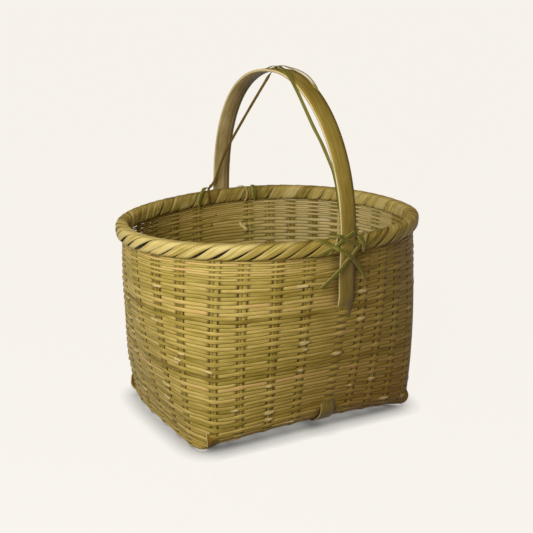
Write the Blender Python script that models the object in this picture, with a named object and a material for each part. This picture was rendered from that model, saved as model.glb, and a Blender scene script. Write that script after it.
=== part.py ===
# Bamboo shopping basket with one tall fixed handle.
# X runs along the basket, Y across it (the handle's arch stands in the YZ plane), Z is up.
# The origin is on the ground under the middle of the basket. All sizes are in metres.

import math

import bmesh
import bpy
import numpy as np
from mathutils import Matrix, Vector

# Rim
RIM_LENGTH = 0.330
RIM_WIDTH = 0.256
RIM_TOP = 0.2115
RIM_DEPTH = 0.015
RIM_BREADTH = 0.013
RIM_CHAMFER = 0.0032
RIM_SQUARENESS = 2.05
WRAP_THICKNESS = 0.0009
WRAP_CLEARANCE = 0.0006
WRAP_COUNT = 4
TURNS_PER_WRAP = 14

# Woven wall
WALL_BASE_LENGTH = 0.257
WALL_BASE_WIDTH = 0.1926
WALL_BASE_SQUARENESS = 9.3
WALL_THICKNESS = 0.0015
WALL_BELLY_SHARE = 0.04
FINE_BAND_HEIGHT = 0.0195
WALL_FACETS = 72
WALL_LEVEL_SHARES = (0.0, 0.2, 0.42, 0.7, 1.0)
LONG_EDGE_RADIUS = 0.020
SHORT_EDGE_RADIUS = 0.005
EDGE_TURN_SHARES = (1.0, 0.75, 0.5, 0.25)

# Raised base
LONG_ARCH_RISE = 0.007
SHORT_ARCH_RISE = 0.001
FOOT_SPAN_LENGTH = 0.236
FOOT_SPAN_WIDTH = 0.176

# Stakes, laid in pairs: a narrow strip beside a strip that widens upward
STAKE_THICKNESS = 0.0009
NARROW_STAKE_WIDTH = 0.0042
WIDE_STAKE_TOP_WIDTH = 0.008
WIDE_STAKE_BASE_WIDTH = 0.0045
STAKE_PAIR_GAP = 0.0018
CROSS_STAKE_SHARES = (-0.875, -0.677, -0.435, -0.203, 0.282, 0.474, 0.662, 0.86)
LONG_STAKE_SHARES = (-0.7, -0.42, -0.085, 0.25, 0.545, 0.79)
BASE_STEPS = 6

# Handle: one strip bent over the basket, its tails pushed through the wall and on under the base
HANDLE_TOP = 0.358
HANDLE_OFFSET = 0.009
HANDLE_THICKNESS = 0.0028
HANDLE_TOP_WIDTH = 0.020
HANDLE_FOOT_WIDTH = 0.0165
HANDLE_TAIL_THICKNESS = 0.0012
NEAR_ARCH_SQUARENESS = 1.85
FAR_ARCH_SQUARENESS = 2.2
HANDLE_ENTRY_HEIGHT = 0.150
HANDLE_ENTRY_DEPTH = 0.018
TAIL_EXIT_HEIGHT = 0.052
TAIL_EXIT_DEPTH = 0.016
HANDLE_STEPS = 22
HANDLE_SIDE_LEAN = 0.007
HANDLE_LEAN_SHARES = ((0.2, 0.62), (0.4, 0.25), (0.6, 0.05), (0.8, 0.0))
TAIL_RUN_SHARES = (0.167, 0.333)

# Corner braces, crossed under the base and turned up round the corners as feet
BRACE_WIDTH = 0.0115
BRACE_THICKNESS = 0.0012
BRACE_LEG_HEIGHT = 0.018
BRACE_RUN_SHARES = ((0.16, 0), (0.32, 0), (0.44, 1), (0.56, 1), (0.68, 0), (0.84, 0))
FOOT_LENGTH = 0.012

# Lashings and ties of split green bamboo
TIE_WIDTH = 0.003
TIE_THICKNESS = 0.0008
LEFT_LOOSE_REACH = 0.0255
LEFT_LOOSE_DROP = 0.048
RIGHT_LOOSE_REACH = 0.028
RIGHT_LOOSE_DROP = 0.047
LOOSE_END_STAND = 0.0025
LOOSE_STEPS = 5

# Route of the tie wound once round the handle: share of the arch from the near foot, place
# across the handle in half widths, and level, where 1 is on the outer face and -1 on the inner
SPIRAL_SHARES = ((0.965, -1.1, -1), (0.945, -0.4, -1), (0.93, 0.4, -1), (0.915, 1.1, -1),
                 (0.725, 1.1, -4.4), (0.535, 1.1, -1.3), (0.528, 1.25, -0.3), (0.52, 1.2, 0.8),
                 (0.512, 0.8, 1.5), (0.478, -0.8, 1.5), (0.468, -1.2, 0.8), (0.46, -1.25, -0.3),
                 (0.452, -1.1, -1.3), (0.27, -1.1, -6.4), (0.1, -1.1, -1), (0.072, -0.4, -1),
                 (0.055, 0.4, -1), (0.038, 1.1, -1))
EDGE_TURN_SHARE = 1.1
TOP_TIE_SHARES = ((0.62, 0.7, 1), (0.585, 0.7, 1), (0.555, 0.68, 1.35), (0.525, 0.62, 1),
                  (0.475, 0.6, 1), (0.43, 0.68, 1.45), (0.385, 0.7, 1), (0.34, 0.7, 1))

# Fits
CLEARANCE = 0.0003
SEAT_CLEARANCE = 0.0005
STAKE_CLEARANCE = 0.0008
LAYER_CLEARANCE = 0.0004
CUT_OVERRUN = 0.006

# Places worked out from the sizes above
RIM_MIDDLE = RIM_TOP - RIM_DEPTH / 2
RIM_BOTTOM = RIM_TOP - RIM_DEPTH
RIM_HALF_LENGTH = (RIM_LENGTH - RIM_BREADTH) / 2
RIM_HALF_WIDTH = (RIM_WIDTH - RIM_BREADTH) / 2
HOOP_INSET = WRAP_THICKNESS + WRAP_CLEARANCE
HOOP_HALF_DEPTH = RIM_DEPTH / 2 - HOOP_INSET
HOOP_BOTTOM = RIM_MIDDLE - HOOP_HALF_DEPTH
BAND_TOP = RIM_MIDDLE + HOOP_HALF_DEPTH / 2
BAND_BOTTOM = HOOP_BOTTOM - FINE_BAND_HEIGHT
STAKE_INSET = WALL_THICKNESS + STAKE_CLEARANCE
STAKE_TOP = RIM_BOTTOM - CLEARANCE
TAIL_DROP = LAYER_CLEARANCE + HANDLE_TAIL_THICKNESS
BRACE_STANDOFF = TAIL_DROP + LAYER_CLEARANCE
BRACE_DROP = BRACE_STANDOFF + BRACE_THICKNESS
CORNER_LIFT = BRACE_DROP
HANDLE_REACH = RIM_WIDTH / 2 + CLEARANCE
HANDLE_SPRING = RIM_TOP - RIM_CHAMFER / 2
KNEE_LEVEL = len(EDGE_TURN_SHARES)
BAND_LEVEL = KNEE_LEVEL + len(WALL_LEVEL_SHARES) - 1
FINE_STEPS = 1440


def clear_scene():
    for old in list(bpy.data.objects):
        bpy.data.objects.remove(old, do_unlink=True)


def new_collection(name):
    collection = bpy.data.collections.new(name)
    bpy.context.scene.collection.children.link(collection)
    return collection


def new_material(name, colour, roughness):
    material = bpy.data.materials.new(name)
    material.use_nodes = True
    shader = material.node_tree.nodes["Principled BSDF"]
    shader.inputs["Base Color"].default_value = (*colour, 1)
    shader.inputs["Roughness"].default_value = roughness
    shader.inputs["Metallic"].default_value = 0
    material.diffuse_color = (*colour, 1)
    return material


def add_mesh(name, verts, faces, material, collection):
    """An object from points and faces, with its faces turned outward."""
    mesh = bpy.data.meshes.new(name)
    mesh.from_pydata([tuple(v) for v in verts], [], faces)
    solid = bmesh.new()
    solid.from_mesh(mesh)
    bmesh.ops.recalc_face_normals(solid, faces=solid.faces)
    if solid.calc_volume(signed=True) < 0:
        bmesh.ops.reverse_faces(solid, faces=solid.faces)
    solid.to_mesh(mesh)
    solid.free()
    mesh.materials.append(material)
    piece = bpy.data.objects.new(name, mesh)
    collection.objects.link(piece)
    return piece


def loft(name, sections, material, collection, closed=False):
    """Skin a row of sections that all have the same number of corners."""
    corners = len(sections[0])
    count = len(sections)
    verts = [point for section in sections for point in section]
    faces = []
    for s in range(count if closed else count - 1):
        here = s * corners
        there = (s + 1) % count * corners
        for c in range(corners):
            d = (c + 1) % corners
            faces.append((here + c, here + d, there + d, there + c))
    if not closed:
        faces.append(tuple(range(corners)))
        faces.append(tuple(count * corners - 1 - c for c in range(corners)))
    return add_mesh(name, verts, faces, material, collection)


# Outlines of the basket

def fine_oval(half_length, half_width, roundness):
    """A superellipse as many points, with the share of its length at each, from +X anticlockwise."""
    turn = np.linspace(0, 2 * math.pi, FINE_STEPS + 1)
    along = half_length * np.sign(np.cos(turn)) * np.abs(np.cos(turn)) ** (2 / roundness)
    across = half_width * np.sign(np.sin(turn)) * np.abs(np.sin(turn)) ** (2 / roundness)
    run = np.concatenate(([0], np.cumsum(np.hypot(np.diff(along), np.diff(across)))))
    return along, across, run / run[-1], run[-1]


def oval_at(oval, share):
    along, across, shares, _ = oval
    return np.interp(share % 1, shares, along), np.interp(share % 1, shares, across)


BASE_OVAL = fine_oval(WALL_BASE_LENGTH / 2, WALL_BASE_WIDTH / 2, WALL_BASE_SQUARENESS)
RIM_OVAL = fine_oval(RIM_HALF_LENGTH, RIM_HALF_WIDTH, RIM_SQUARENESS)
BASE_ROUND = BASE_OVAL[3]
RIM_ROUND = RIM_OVAL[3]

ring_store = {}


def wall_rings(inset):
    """Base and top outlines of the wall, as facet corners, drawn in from its outer face."""
    if inset not in ring_store:
        base = fine_oval(WALL_BASE_LENGTH / 2 - inset, WALL_BASE_WIDTH / 2 - inset,
                         WALL_BASE_SQUARENESS)
        top = fine_oval(RIM_HALF_LENGTH + WALL_THICKNESS / 2 - inset,
                        RIM_HALF_WIDTH + WALL_THICKNESS / 2 - inset, RIM_SQUARENESS)
        shares = [k / WALL_FACETS for k in range(WALL_FACETS)]
        ring_store[inset] = ([Vector(oval_at(base, s)) for s in shares],
                             [Vector(oval_at(top, s)) for s in shares])
    return ring_store[inset]


def mat_height(x, y):
    """Height of the underside of the raised base: lowest at the corners, highest in the middle."""
    long_rise = LONG_ARCH_RISE * (1 - (2 * x / FOOT_SPAN_LENGTH) ** 2)
    short_rise = SHORT_ARCH_RISE * (1 - (2 * y / FOOT_SPAN_WIDTH) ** 2)
    return CORNER_LIFT + long_rise + short_rise


def inward_at(share):
    """Level direction across the base outline towards the inside, at a share of the way round."""
    ahead = Vector(oval_at(BASE_OVAL, share + 1 / FINE_STEPS))
    behind = Vector(oval_at(BASE_OVAL, share - 1 / FINE_STEPS))
    along = (ahead - behind).normalized()
    return Vector((-along.y, along.x))


def corner_column(k, inset):
    """The wall's facet corner k, as points from under the base up to the top of the fine band.

    The wall turns in under the base on a wide radius along the front and back, and on a small
    one at the ends. A surface drawn in from the outer face keeps the same centre of the turn.
    """
    base, top = (ring[k % WALL_FACETS] for ring in wall_rings(inset))
    inward = inward_at(k / WALL_FACETS)
    radius = SHORT_EDGE_RADIUS + (LONG_EDGE_RADIUS - SHORT_EDGE_RADIUS) * inward.y ** 4
    under = wall_rings(0)[0][k % WALL_FACETS] + inward * radius
    knee = mat_height(under.x, under.y) + radius
    heights = [knee] * len(EDGE_TURN_SHARES)
    heights += [knee + (BAND_BOTTOM - knee) * s for s in WALL_LEVEL_SHARES]
    heights += [HOOP_BOTTOM, BAND_TOP]
    column = []
    for level, z in enumerate(heights):
        rise = min(z / HOOP_BOTTOM, 1)
        swell = 1 + WALL_BELLY_SHARE * 4 * rise * (1 - rise)
        point = base.lerp(top, rise) * swell
        if level < len(EDGE_TURN_SHARES):
            angle = math.pi / 2 * EDGE_TURN_SHARES[level]
            point = point + inward * (radius - inset) * (1 - math.cos(angle))
            z = z - (radius - inset) * math.sin(angle)
        column.append(Vector((point.x, point.y, z)))
    return column


def wall_column(share, inset):
    """Points up the wall's facets at a share of the way round."""
    place = share % 1 * WALL_FACETS
    k = math.floor(place)
    pair = zip(corner_column(k, inset), corner_column(k + 1, inset))
    return [low.lerp(high, place - k) for low, high in pair]


def on_column(column, z):
    for low, high in zip(column, column[1:]):
        if z <= high.z or high is column[-1]:
            return low.lerp(high, (z - low.z) / (high.z - low.z))


def wall_point(share, z, inset):
    return on_column(wall_column(share, inset), z)


def wall_round(z):
    """Length of the way round the wall at a height."""
    rise = min(z / HOOP_BOTTOM, 1)
    swell = 1 + WALL_BELLY_SHARE * 4 * rise * (1 - rise)
    return (BASE_ROUND + (RIM_ROUND - BASE_ROUND) * rise) * swell


def share_at(place, wall):
    """Share of the way round the base outline of a place along the front, back, left or right."""
    along, across, shares, _ = BASE_OVAL
    chosen = {"front": across < 0, "back": across > 0, "left": along < 0, "right": along > 0}[wall]
    values = (along if wall in ("front", "back") else across)[chosen]
    rounds = shares[chosen]
    if wall == "right":
        rounds = (rounds + 0.5) % 1 - 0.5
    order = np.argsort(values)
    return float(np.interp(place, values[order], rounds[order]))


# Woven wall

def wall_shell(name, low, high, material, collection, top_cut=0.0, bottom_cut=0.0):
    """A ring of the wall between two levels of its columns, open at the top and the bottom."""
    sections = []
    for k in range(WALL_FACETS):
        outer = corner_column(k, 0.0)[low:high + 1]
        inner = corner_column(k, WALL_THICKNESS)[low:high + 1]
        for line in (outer, inner):
            line[0] = line[0] + Vector((0, 0, bottom_cut))
            line[-1] = line[-1] - Vector((0, 0, top_cut))
        sections.append(outer + inner[::-1])
    return loft(name, sections, material, collection, closed=True)


def add_box(solid, size, place):
    """A box in a bmesh, with its size given before it is turned and placed."""
    bmesh.ops.create_cube(solid, size=1, matrix=place @ Matrix.Diagonal((*size, 1)))


def cut_with(piece, name, boxes, collection):
    """Cut a piece with a row of boxes, each given as a size and a placing matrix."""
    solid = bmesh.new()
    for size, place in boxes:
        add_box(solid, size, place)
    mesh = bpy.data.meshes.new(name)
    solid.to_mesh(mesh)
    solid.free()
    cutter = bpy.data.objects.new(name, mesh)
    cutter.hide_render = True
    cutter.display_type = "WIRE"
    collection.objects.link(cutter)
    cut = piece.modifiers.new("slots", "BOOLEAN")
    cut.operation = "DIFFERENCE"
    cut.solver = "EXACT"
    cut.object = cutter


def wall_frame(share, z, inset):
    """A placing matrix on the wall: x outward, y along it, z up."""
    here = wall_point(share, z, inset)
    ahead = wall_point(share + 1 / FINE_STEPS, z, inset)
    along = (ahead - here).normalized()
    out = along.cross(Vector((0, 0, 1)))
    turn = Matrix((out, along, (0, 0, 1))).transposed().to_4x4()
    return Matrix.Translation(here) @ turn


def corner_share(side_x, side_y):
    """Share of the way round at a corner of the base."""
    along, across, shares, _ = BASE_OVAL
    reach = side_x * along / WALL_BASE_LENGTH + side_y * across / WALL_BASE_WIDTH
    return float(shares[np.argmax(reach)])


def corner_inward(side_x, side_y):
    """Level direction from a corner of the base towards its middle."""
    return Vector((-side_x * FOOT_SPAN_LENGTH, -side_y * FOOT_SPAN_WIDTH, 0)).normalized()


def corner_frame(side_x, side_y):
    """A placing matrix on the wall at a corner, facing away from the middle of the base."""
    out = -corner_inward(side_x, side_y)
    here = wall_point(corner_share(side_x, side_y), BRACE_LEG_HEIGHT, 0.0)
    turn = Matrix((out, Vector((-out.y, out.x, 0)), (0, 0, 1))).transposed().to_4x4()
    return Matrix.Translation(here) @ turn


def handle_share(side):
    return share_at(HANDLE_OFFSET, "front" if side < 0 else "back")


def build_wall(material, collection, cutters):
    wall = wall_shell("woven_wall", 0, BAND_LEVEL, material, collection, top_cut=CLEARANCE)
    slots = []
    entry_middle = HANDLE_ENTRY_HEIGHT - HANDLE_ENTRY_DEPTH / 2
    through = WALL_THICKNESS + CUT_OVERRUN
    slant = HANDLE_SIDE_LEAN * HANDLE_ENTRY_DEPTH / (RIM_BOTTOM - entry_middle)
    slot_width = HANDLE_FOOT_WIDTH + 2 * SEAT_CLEARANCE + slant
    entry_size = (through, slot_width, HANDLE_ENTRY_DEPTH + 2 * SEAT_CLEARANCE)
    exit_size = (through, slot_width, TAIL_EXIT_DEPTH + 2 * SEAT_CLEARANCE)
    exit_middle = TAIL_EXIT_HEIGHT - TAIL_EXIT_DEPTH / 2
    for side in (-1, 1):
        for size, z in ((entry_size, entry_middle), (exit_size, exit_middle)):
            share = handle_share(side) + handle_shift(side, z) / wall_round(z)
            slots.append((size, wall_frame(share, z, 0.0)))
    tuck_size = (through, BRACE_WIDTH + 2 * SEAT_CLEARANCE, BRACE_THICKNESS + 2 * SEAT_CLEARANCE)
    for side_x in (-1, 1):
        for side_y in (-1, 1):
            slots.append((tuck_size, corner_frame(side_x, side_y)))
    cut_with(wall, "wall_slot_cutter", slots, cutters)


def build_band(material, collection, cutters):
    """The fine top rows, clamped between the hoops, with a slot for each turn of the wrap."""
    band = wall_shell("fine_top_band", BAND_LEVEL, BAND_LEVEL + 2, material, collection)
    turns = WRAP_COUNT * TURNS_PER_WRAP
    pitch = RIM_ROUND / turns
    size = (WALL_THICKNESS + CUT_OVERRUN, pitch * WRAP_WIDTH_SHARES[1] + 2 * SEAT_CLEARANCE,
            WRAP_THICKNESS + 2 * CLEARANCE)
    middle = RIM_BOTTOM + WRAP_THICKNESS / 2
    slots = [(size, wall_frame(turn / turns, middle, WALL_THICKNESS / 2)) for turn in range(turns)]
    cut_with(band, "band_slot_cutter", slots, cutters)


# Rim

def rim_point(share, out, z):
    """A point by the rim's middle line: share of the way round, distance outward, height."""
    oval = fine_oval(RIM_HALF_LENGTH + out, RIM_HALF_WIDTH + out, RIM_SQUARENESS)
    x, y = oval_at(oval, share)
    return Vector((x, y, z))


def build_hoop(name, side, material, collection):
    """A split bamboo hoop: side is 1 for the outer one and -1 for the inner one."""
    near = (WALL_THICKNESS / 2 + CLEARANCE) * side
    far = (RIM_BREADTH / 2 - HOOP_INSET) * side
    slope = (RIM_CHAMFER - HOOP_INSET * (2 - math.sqrt(2))) * side
    high = HOOP_HALF_DEPTH
    cut = abs(slope)
    profile = [(near, -high), (far - slope, -high), (far, cut - high),
               (far, high - cut), (far - slope, high), (near, high)]
    rings = []
    for out, up in profile:
        oval = fine_oval(RIM_HALF_LENGTH + out, RIM_HALF_WIDTH + out, RIM_SQUARENESS)
        rings.append([(*oval_at(oval, k / WALL_FACETS), RIM_MIDDLE + up)
                      for k in range(WALL_FACETS)])
    loft(name, list(zip(*rings)), material, collection, closed=True)


def rim_corners(lift):
    """Corners of the rim's section, lifted off its surface: bottom middle, outside, top, inside."""
    out = RIM_BREADTH / 2 + lift
    up = RIM_DEPTH / 2 + lift
    cut = RIM_CHAMFER + lift * (2 - math.sqrt(2))
    return [(0, -up), (out - cut, -up), (out, cut - up), (out, up - cut), (out - cut, up),
            (cut - out, up), (-out, up - cut), (-out, cut - up), (cut - out, -up)]


# At each corner of the section: how far the wrap has moved on, and how wide it is, of its pitch
WRAP_ADVANCE_SHARES = (0.0, 0.0, 0.08, 0.42, 0.55, 0.75, 0.86, 1.0, 1.0)
WRAP_WIDTH_SHARES = (0.32, 0.4, 0.8, 0.94, 0.94, 0.94, 0.94, 0.8, 0.4)


def build_wraps(material, collection):
    """Flat strip wound round the hoops, a quarter of the rim to each piece."""
    turns = WRAP_COUNT * TURNS_PER_WRAP
    outer = rim_corners(0.0)
    inner = rim_corners(-WRAP_THICKNESS)
    ovals = {out: fine_oval(RIM_HALF_LENGTH + out, RIM_HALF_WIDTH + out, RIM_SQUARENESS)
             for out, _ in outer + inner}
    steps = len(outer)
    least = RIM_ROUND
    for piece in range(WRAP_COUNT):
        sections = []
        first = piece * TURNS_PER_WRAP
        for step in range(TURNS_PER_WRAP * steps):
            turn, corner = divmod(step, steps)
            middle = first + turn + WRAP_ADVANCE_SHARES[corner]
            half = WRAP_WIDTH_SHARES[corner] / 2
            section = []
            for (out, up), edge in ((outer[corner], -half), (outer[corner], half),
                                    (inner[corner], half), (inner[corner], -half)):
                x, y = oval_at(ovals[out], (middle + edge) / turns)
                section.append(Vector((x, y, RIM_MIDDLE + up)))
            sections.append(section)
        for low, high in zip(sections, sections[steps:]):
            least = min(least, (high[0] - low[1]).length, (high[3] - low[2]).length)
        loft(f"rim_wrap_{piece + 1}", sections, material, collection)
    print("least gap between turns of the wrap, mm:", round(1000 * least, 2))


# Strips bent from the wall to the base

def leg_edge(middle, offsets, stations, inset, thickness):
    """One edge of a strip, down its stations on the wall and round the turn to the base.

    The edge lies beside a share of the way round, at an offset given at the base and at the top.
    A station is a height, the inset of the strip's outer face, its thickness and its shift
    sideways. The inset and thickness that follow are those on the turn.
    """
    def edge_share(z, shift=0.0):
        offset = offsets[0] + (offsets[1] - offsets[0]) * z / stations[0][0]
        return middle + (offset + shift) / wall_round(z)

    knee = wall_column(edge_share(0), inset)[KNEE_LEVEL].z
    points = []
    for z, out, thick, shift in stations:
        if z > knee + CLEARANCE:
            share = edge_share(z, shift)
            points.append((wall_point(share, z, out), wall_point(share, z, out + thick)))
    outer = wall_column(edge_share(knee), inset)
    inner = wall_column(edge_share(knee), inset + thickness)
    return points + [(outer[level], inner[level]) for level in range(KNEE_LEVEL, -1, -1)]


def strip_sections(left, right):
    """Four-cornered sections from the outer and inner points of a strip's two edges."""
    return [(lo, ro, ri, li) for (lo, li), (ro, ri) in zip(left, right)]


def base_run(first, last, thickness, drops):
    """Points across the base between two places, each with its share of the way and its drop."""
    points = []
    for share, drop in drops:
        x, y, _ = first.lerp(last, share)
        low = Vector((x, y, mat_height(x, y) + drop))
        points.append((low, low + Vector((0, 0, thickness))))
    return points


def build_stake(name, walls, place, offsets, lift, material, collection):
    """A strip up one wall, across the base and up the opposite wall."""
    levels = [point.z for point in wall_column(share_at(place, walls[0]), STAKE_INSET)]
    heights = [STAKE_TOP] + levels[BAND_LEVEL:KNEE_LEVEL:-1]
    stations = [(z, STAKE_INSET, STAKE_THICKNESS, 0.0) for z in heights]
    inset = STAKE_INSET + lift
    run = [(step / BASE_STEPS, inset) for step in range(1, BASE_STEPS)]
    edges = []
    for base_offset, top_offset in offsets:
        legs = []
        for wall in walls:
            turn = 1 if wall in ("front", "right") else -1
            legs.append(leg_edge(share_at(place, wall), (turn * base_offset, turn * top_offset),
                                 stations, inset, STAKE_THICKNESS))
        middle = base_run(legs[0][-1][0], legs[1][-1][0], STAKE_THICKNESS, run)
        edges.append(legs[0] + middle + legs[1][::-1])
    return loft(name, strip_sections(*edges), material, collection)


def build_stakes(material, collection):
    half_gap = STAKE_PAIR_GAP / 2
    narrow = ((-half_gap - NARROW_STAKE_WIDTH,) * 2, (-half_gap,) * 2)
    wide = ((half_gap,) * 2, (half_gap + WIDE_STAKE_BASE_WIDTH, half_gap + WIDE_STAKE_TOP_WIDTH))
    over = STAKE_THICKNESS + LAYER_CLEARANCE
    rows = (("cross", CROSS_STAKE_SHARES, WALL_BASE_LENGTH, ("front", "back"), over),
            ("long", LONG_STAKE_SHARES, WALL_BASE_WIDTH, ("left", "right"), 0.0))
    for row, shares, size, walls, lift in rows:
        for number, share in enumerate(shares, 1):
            for label, offsets in (("narrow", narrow), ("wide", wide)):
                build_stake(f"{row}_stake_{number}_{label}", walls, share * size / 2, offsets,
                            lift, material, collection)


# Handle

def arch_point(share):
    """The middle of the handle at a share of the arch, from the near foot to the far one."""
    half_span = HANDLE_REACH + HANDLE_THICKNESS / 2
    height = HANDLE_TOP - HANDLE_THICKNESS / 2 - HANDLE_SPRING
    side = -math.cos(math.pi * share)
    roundness = NEAR_ARCH_SQUARENESS if side < 0 else FAR_ARCH_SQUARENESS
    y = math.copysign(abs(side) ** (2 / roundness), side) * half_span
    z = HANDLE_SPRING + height * abs(math.sin(math.pi * share)) ** (2 / roundness)
    return Vector((HANDLE_OFFSET, y, z))


def arch_frame(share):
    """Middle of the arch at a share, its outward direction and the handle's width there."""
    step = 1 / HANDLE_STEPS
    run = arch_point(min(share + step, 1)) - arch_point(max(share - step, 0))
    out = Vector((0, -run.z, run.y)).normalized()
    width = HANDLE_FOOT_WIDTH + (HANDLE_TOP_WIDTH - HANDLE_FOOT_WIDTH) * math.sin(math.pi * share)
    return arch_point(share), out, width


def handle_shift(side, z):
    """How far round the wall the leaning handle has moved at a height below the rim."""
    entry = HANDLE_ENTRY_HEIGHT - HANDLE_ENTRY_DEPTH / 2
    lean = z / entry if z < entry else (RIM_BOTTOM - z) / (RIM_BOTTOM - entry)
    return -side * HANDLE_SIDE_LEAN * lean


def handle_leg(side):
    """Both edges of the handle on one side, from the rim down to its bend under the base."""
    middle = handle_share(side)
    reach = HANDLE_REACH + HANDLE_THICKNESS
    lean = HANDLE_THICKNESS + SEAT_CLEARANCE
    slack = HANDLE_REACH - abs(wall_point(middle, HOOP_BOTTOM, 0.0).y)
    drop = RIM_BOTTOM - HANDLE_ENTRY_HEIGHT
    thin = (HANDLE_THICKNESS + HANDLE_TAIL_THICKNESS) / 2
    outside = -HANDLE_TAIL_THICKNESS - SEAT_CLEARANCE
    levels = [(RIM_BOTTOM - drop * fall, -lean - slack * ease, HANDLE_THICKNESS)
              for fall, ease in HANDLE_LEAN_SHARES]
    levels.append((HANDLE_ENTRY_HEIGHT, -thin - SEAT_CLEARANCE, thin))
    column = wall_column(middle, STAKE_INSET)
    inside = [HANDLE_ENTRY_HEIGHT - HANDLE_ENTRY_DEPTH]
    inside += [p.z for p in column[::-1] if TAIL_EXIT_HEIGHT < p.z < inside[0]]
    inside.append(TAIL_EXIT_HEIGHT)
    levels += [(z, STAKE_INSET, HANDLE_TAIL_THICKNESS) for z in inside]
    levels.append((TAIL_EXIT_HEIGHT - TAIL_EXIT_DEPTH, outside, HANDLE_TAIL_THICKNESS))
    stations = [(z, inset, thick, handle_shift(side, z)) for z, inset, thick in levels]
    edges = []
    for edge in (-1, 1):
        x = HANDLE_OFFSET + edge * HANDLE_FOOT_WIDTH / 2
        offset = -edge * side * HANDLE_FOOT_WIDTH / 2
        points = [(Vector((x, side * reach, z)), Vector((x, side * HANDLE_REACH, z)))
                  for z in (HANDLE_SPRING, RIM_MIDDLE, RIM_BOTTOM)]
        points += leg_edge(middle, (offset, offset), stations, outside, HANDLE_TAIL_THICKNESS)
        edges.append(points)
    return edges


def build_handle(material, collection):
    """One strip: its two tails meet end to end under the middle of the base."""
    near = handle_leg(-1)
    far = handle_leg(1)
    edges = []
    for edge, half in enumerate((-0.5, 0.5)):
        over = []
        for step in range(1, HANDLE_STEPS):
            point, out, width = arch_frame(step / HANDLE_STEPS)
            centre = point + Vector((half * width, 0, 0))
            over.append((centre + out * HANDLE_THICKNESS / 2, centre - out * HANDLE_THICKNESS / 2))
        first, last = near[edge][-1][0], far[edge][-1][0]
        butt = 0.5 - CLEARANCE / (last - first).length
        drops = [(share, -TAIL_DROP) for share in (*TAIL_RUN_SHARES, butt)]
        near_run = base_run(first, last, HANDLE_TAIL_THICKNESS, drops)
        far_run = base_run(last, first, HANDLE_TAIL_THICKNESS, drops)
        edges.append(near_run[::-1] + near[edge][::-1] + over + far[edge] + far_run)
    loft("handle", strip_sections(*edges), material, collection)


# Corner braces

def brace_end(side_x, side_y):
    """Both edges of a brace at one corner, from its tucked tip down round the foot."""
    middle = corner_share(side_x, side_y)
    outer = wall_column(middle, -BRACE_STANDOFF - BRACE_THICKNESS)
    inner = wall_column(middle, -BRACE_STANDOFF)
    half_thick = Vector((0, 0, BRACE_THICKNESS / 2))
    tongue = wall_point(middle, BRACE_LEG_HEIGHT, WALL_THICKNESS / 2)
    points = [(tongue + half_thick, tongue - half_thick),
              (on_column(outer, BRACE_LEG_HEIGHT) + half_thick,
               on_column(inner, BRACE_LEG_HEIGHT) - half_thick)]
    inward = corner_inward(side_x, side_y)
    radius = SHORT_EDGE_RADIUS + BRACE_DROP
    centre = on_column(outer[KNEE_LEVEL:], radius) + inward * radius
    for turned in (0.0, *EDGE_TURN_SHARES[::-1]):
        angle = math.pi / 2 * turned
        away = Vector((0, 0, -math.sin(angle))) - inward * math.cos(angle)
        points.append((centre + away * radius, centre + away * (radius - BRACE_THICKNESS)))
    toe = inward * FOOT_LENGTH
    points.append(tuple(point + toe for point in points[-1]))
    beside = Vector((inward.y, -inward.x, 0)) * BRACE_WIDTH / 2
    return [[(low + beside * edge, high + beside * edge) for low, high in points]
            for edge in (-1, 1)]


def build_brace(name, slope, dip, material, collection):
    """A strip under the base from corner to corner, turned up outside the wall at both ends."""
    left = brace_end(-1, -slope)
    right = brace_end(1, slope)[::-1]
    drops = [(share, -BRACE_DROP - dip * lowered) for share, lowered in BRACE_RUN_SHARES]
    edges = []
    for edge in (0, 1):
        middle = base_run(left[edge][-1][0], right[edge][-1][0], BRACE_THICKNESS, drops)
        edges.append(left[edge] + middle + right[edge][::-1])
    return loft(name, strip_sections(*edges), material, collection)


# Ties

def ribbon(name, stops, material, collection):
    """A thin flat strip through stops, each a point and the direction that its face looks."""
    sections = []
    for k, (point, face) in enumerate(stops):
        before = stops[max(k - 1, 0)][0]
        after = stops[min(k + 1, len(stops) - 1)][0]
        run = (after - before).normalized()
        side = run.cross(face).normalized() * TIE_WIDTH / 2
        up = side.cross(run).normalized() * TIE_THICKNESS / 2
        sections.append((point - side + up, point + side + up, point + side - up,
                         point - side - up))
    loft(name, sections, material, collection)


def tie_lift(level):
    """Height of a tie's middle over what it lies on: level 2 lies on level 1."""
    return LAYER_CLEARANCE + TIE_THICKNESS / 2 + (level - 1) * (TIE_THICKNESS + CLEARANCE)


def on_rim(side, across, corner, level=1):
    """A stop on the rim, beside the handle's middle, at a corner of the rim's section."""
    shift = (HANDLE_OFFSET + across) / RIM_ROUND
    share = 0.5 - side * 0.25 - side * shift
    out, up = rim_corners(tie_lift(level))[corner]
    lower, upper = rim_corners(0.0)[corner], rim_corners(tie_lift(level))[corner]
    along = rim_point(share + 1 / FINE_STEPS, 0.0, RIM_MIDDLE) - rim_point(share, 0.0, RIM_MIDDLE)
    outward = along.cross(Vector((0, 0, 1))).normalized()
    face = outward * (upper[0] - lower[0]) + Vector((0, 0, upper[1] - lower[1]))
    return rim_point(share, out, RIM_MIDDLE + up), face.normalized()


def on_face(side, across, z, level=1):
    """A stop on the handle's outer face below or beside the rim."""
    reach = HANDLE_REACH + HANDLE_THICKNESS
    top = z + TIE_WIDTH / 2
    if top < RIM_BOTTOM:
        line = [pair[0] for pair in handle_leg(side)[0]]
        for high, low in zip(line, line[1:]):
            if low.z <= top < high.z:
                reach = abs(low.lerp(high, (top - low.z) / (high.z - low.z)).y)
    lean = -side * handle_shift(side, z) if z < RIM_BOTTOM else 0.0
    place = Vector((HANDLE_OFFSET + across + lean, side * (reach + tie_lift(level)), z))
    return place, Vector((0, side, 0))


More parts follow.
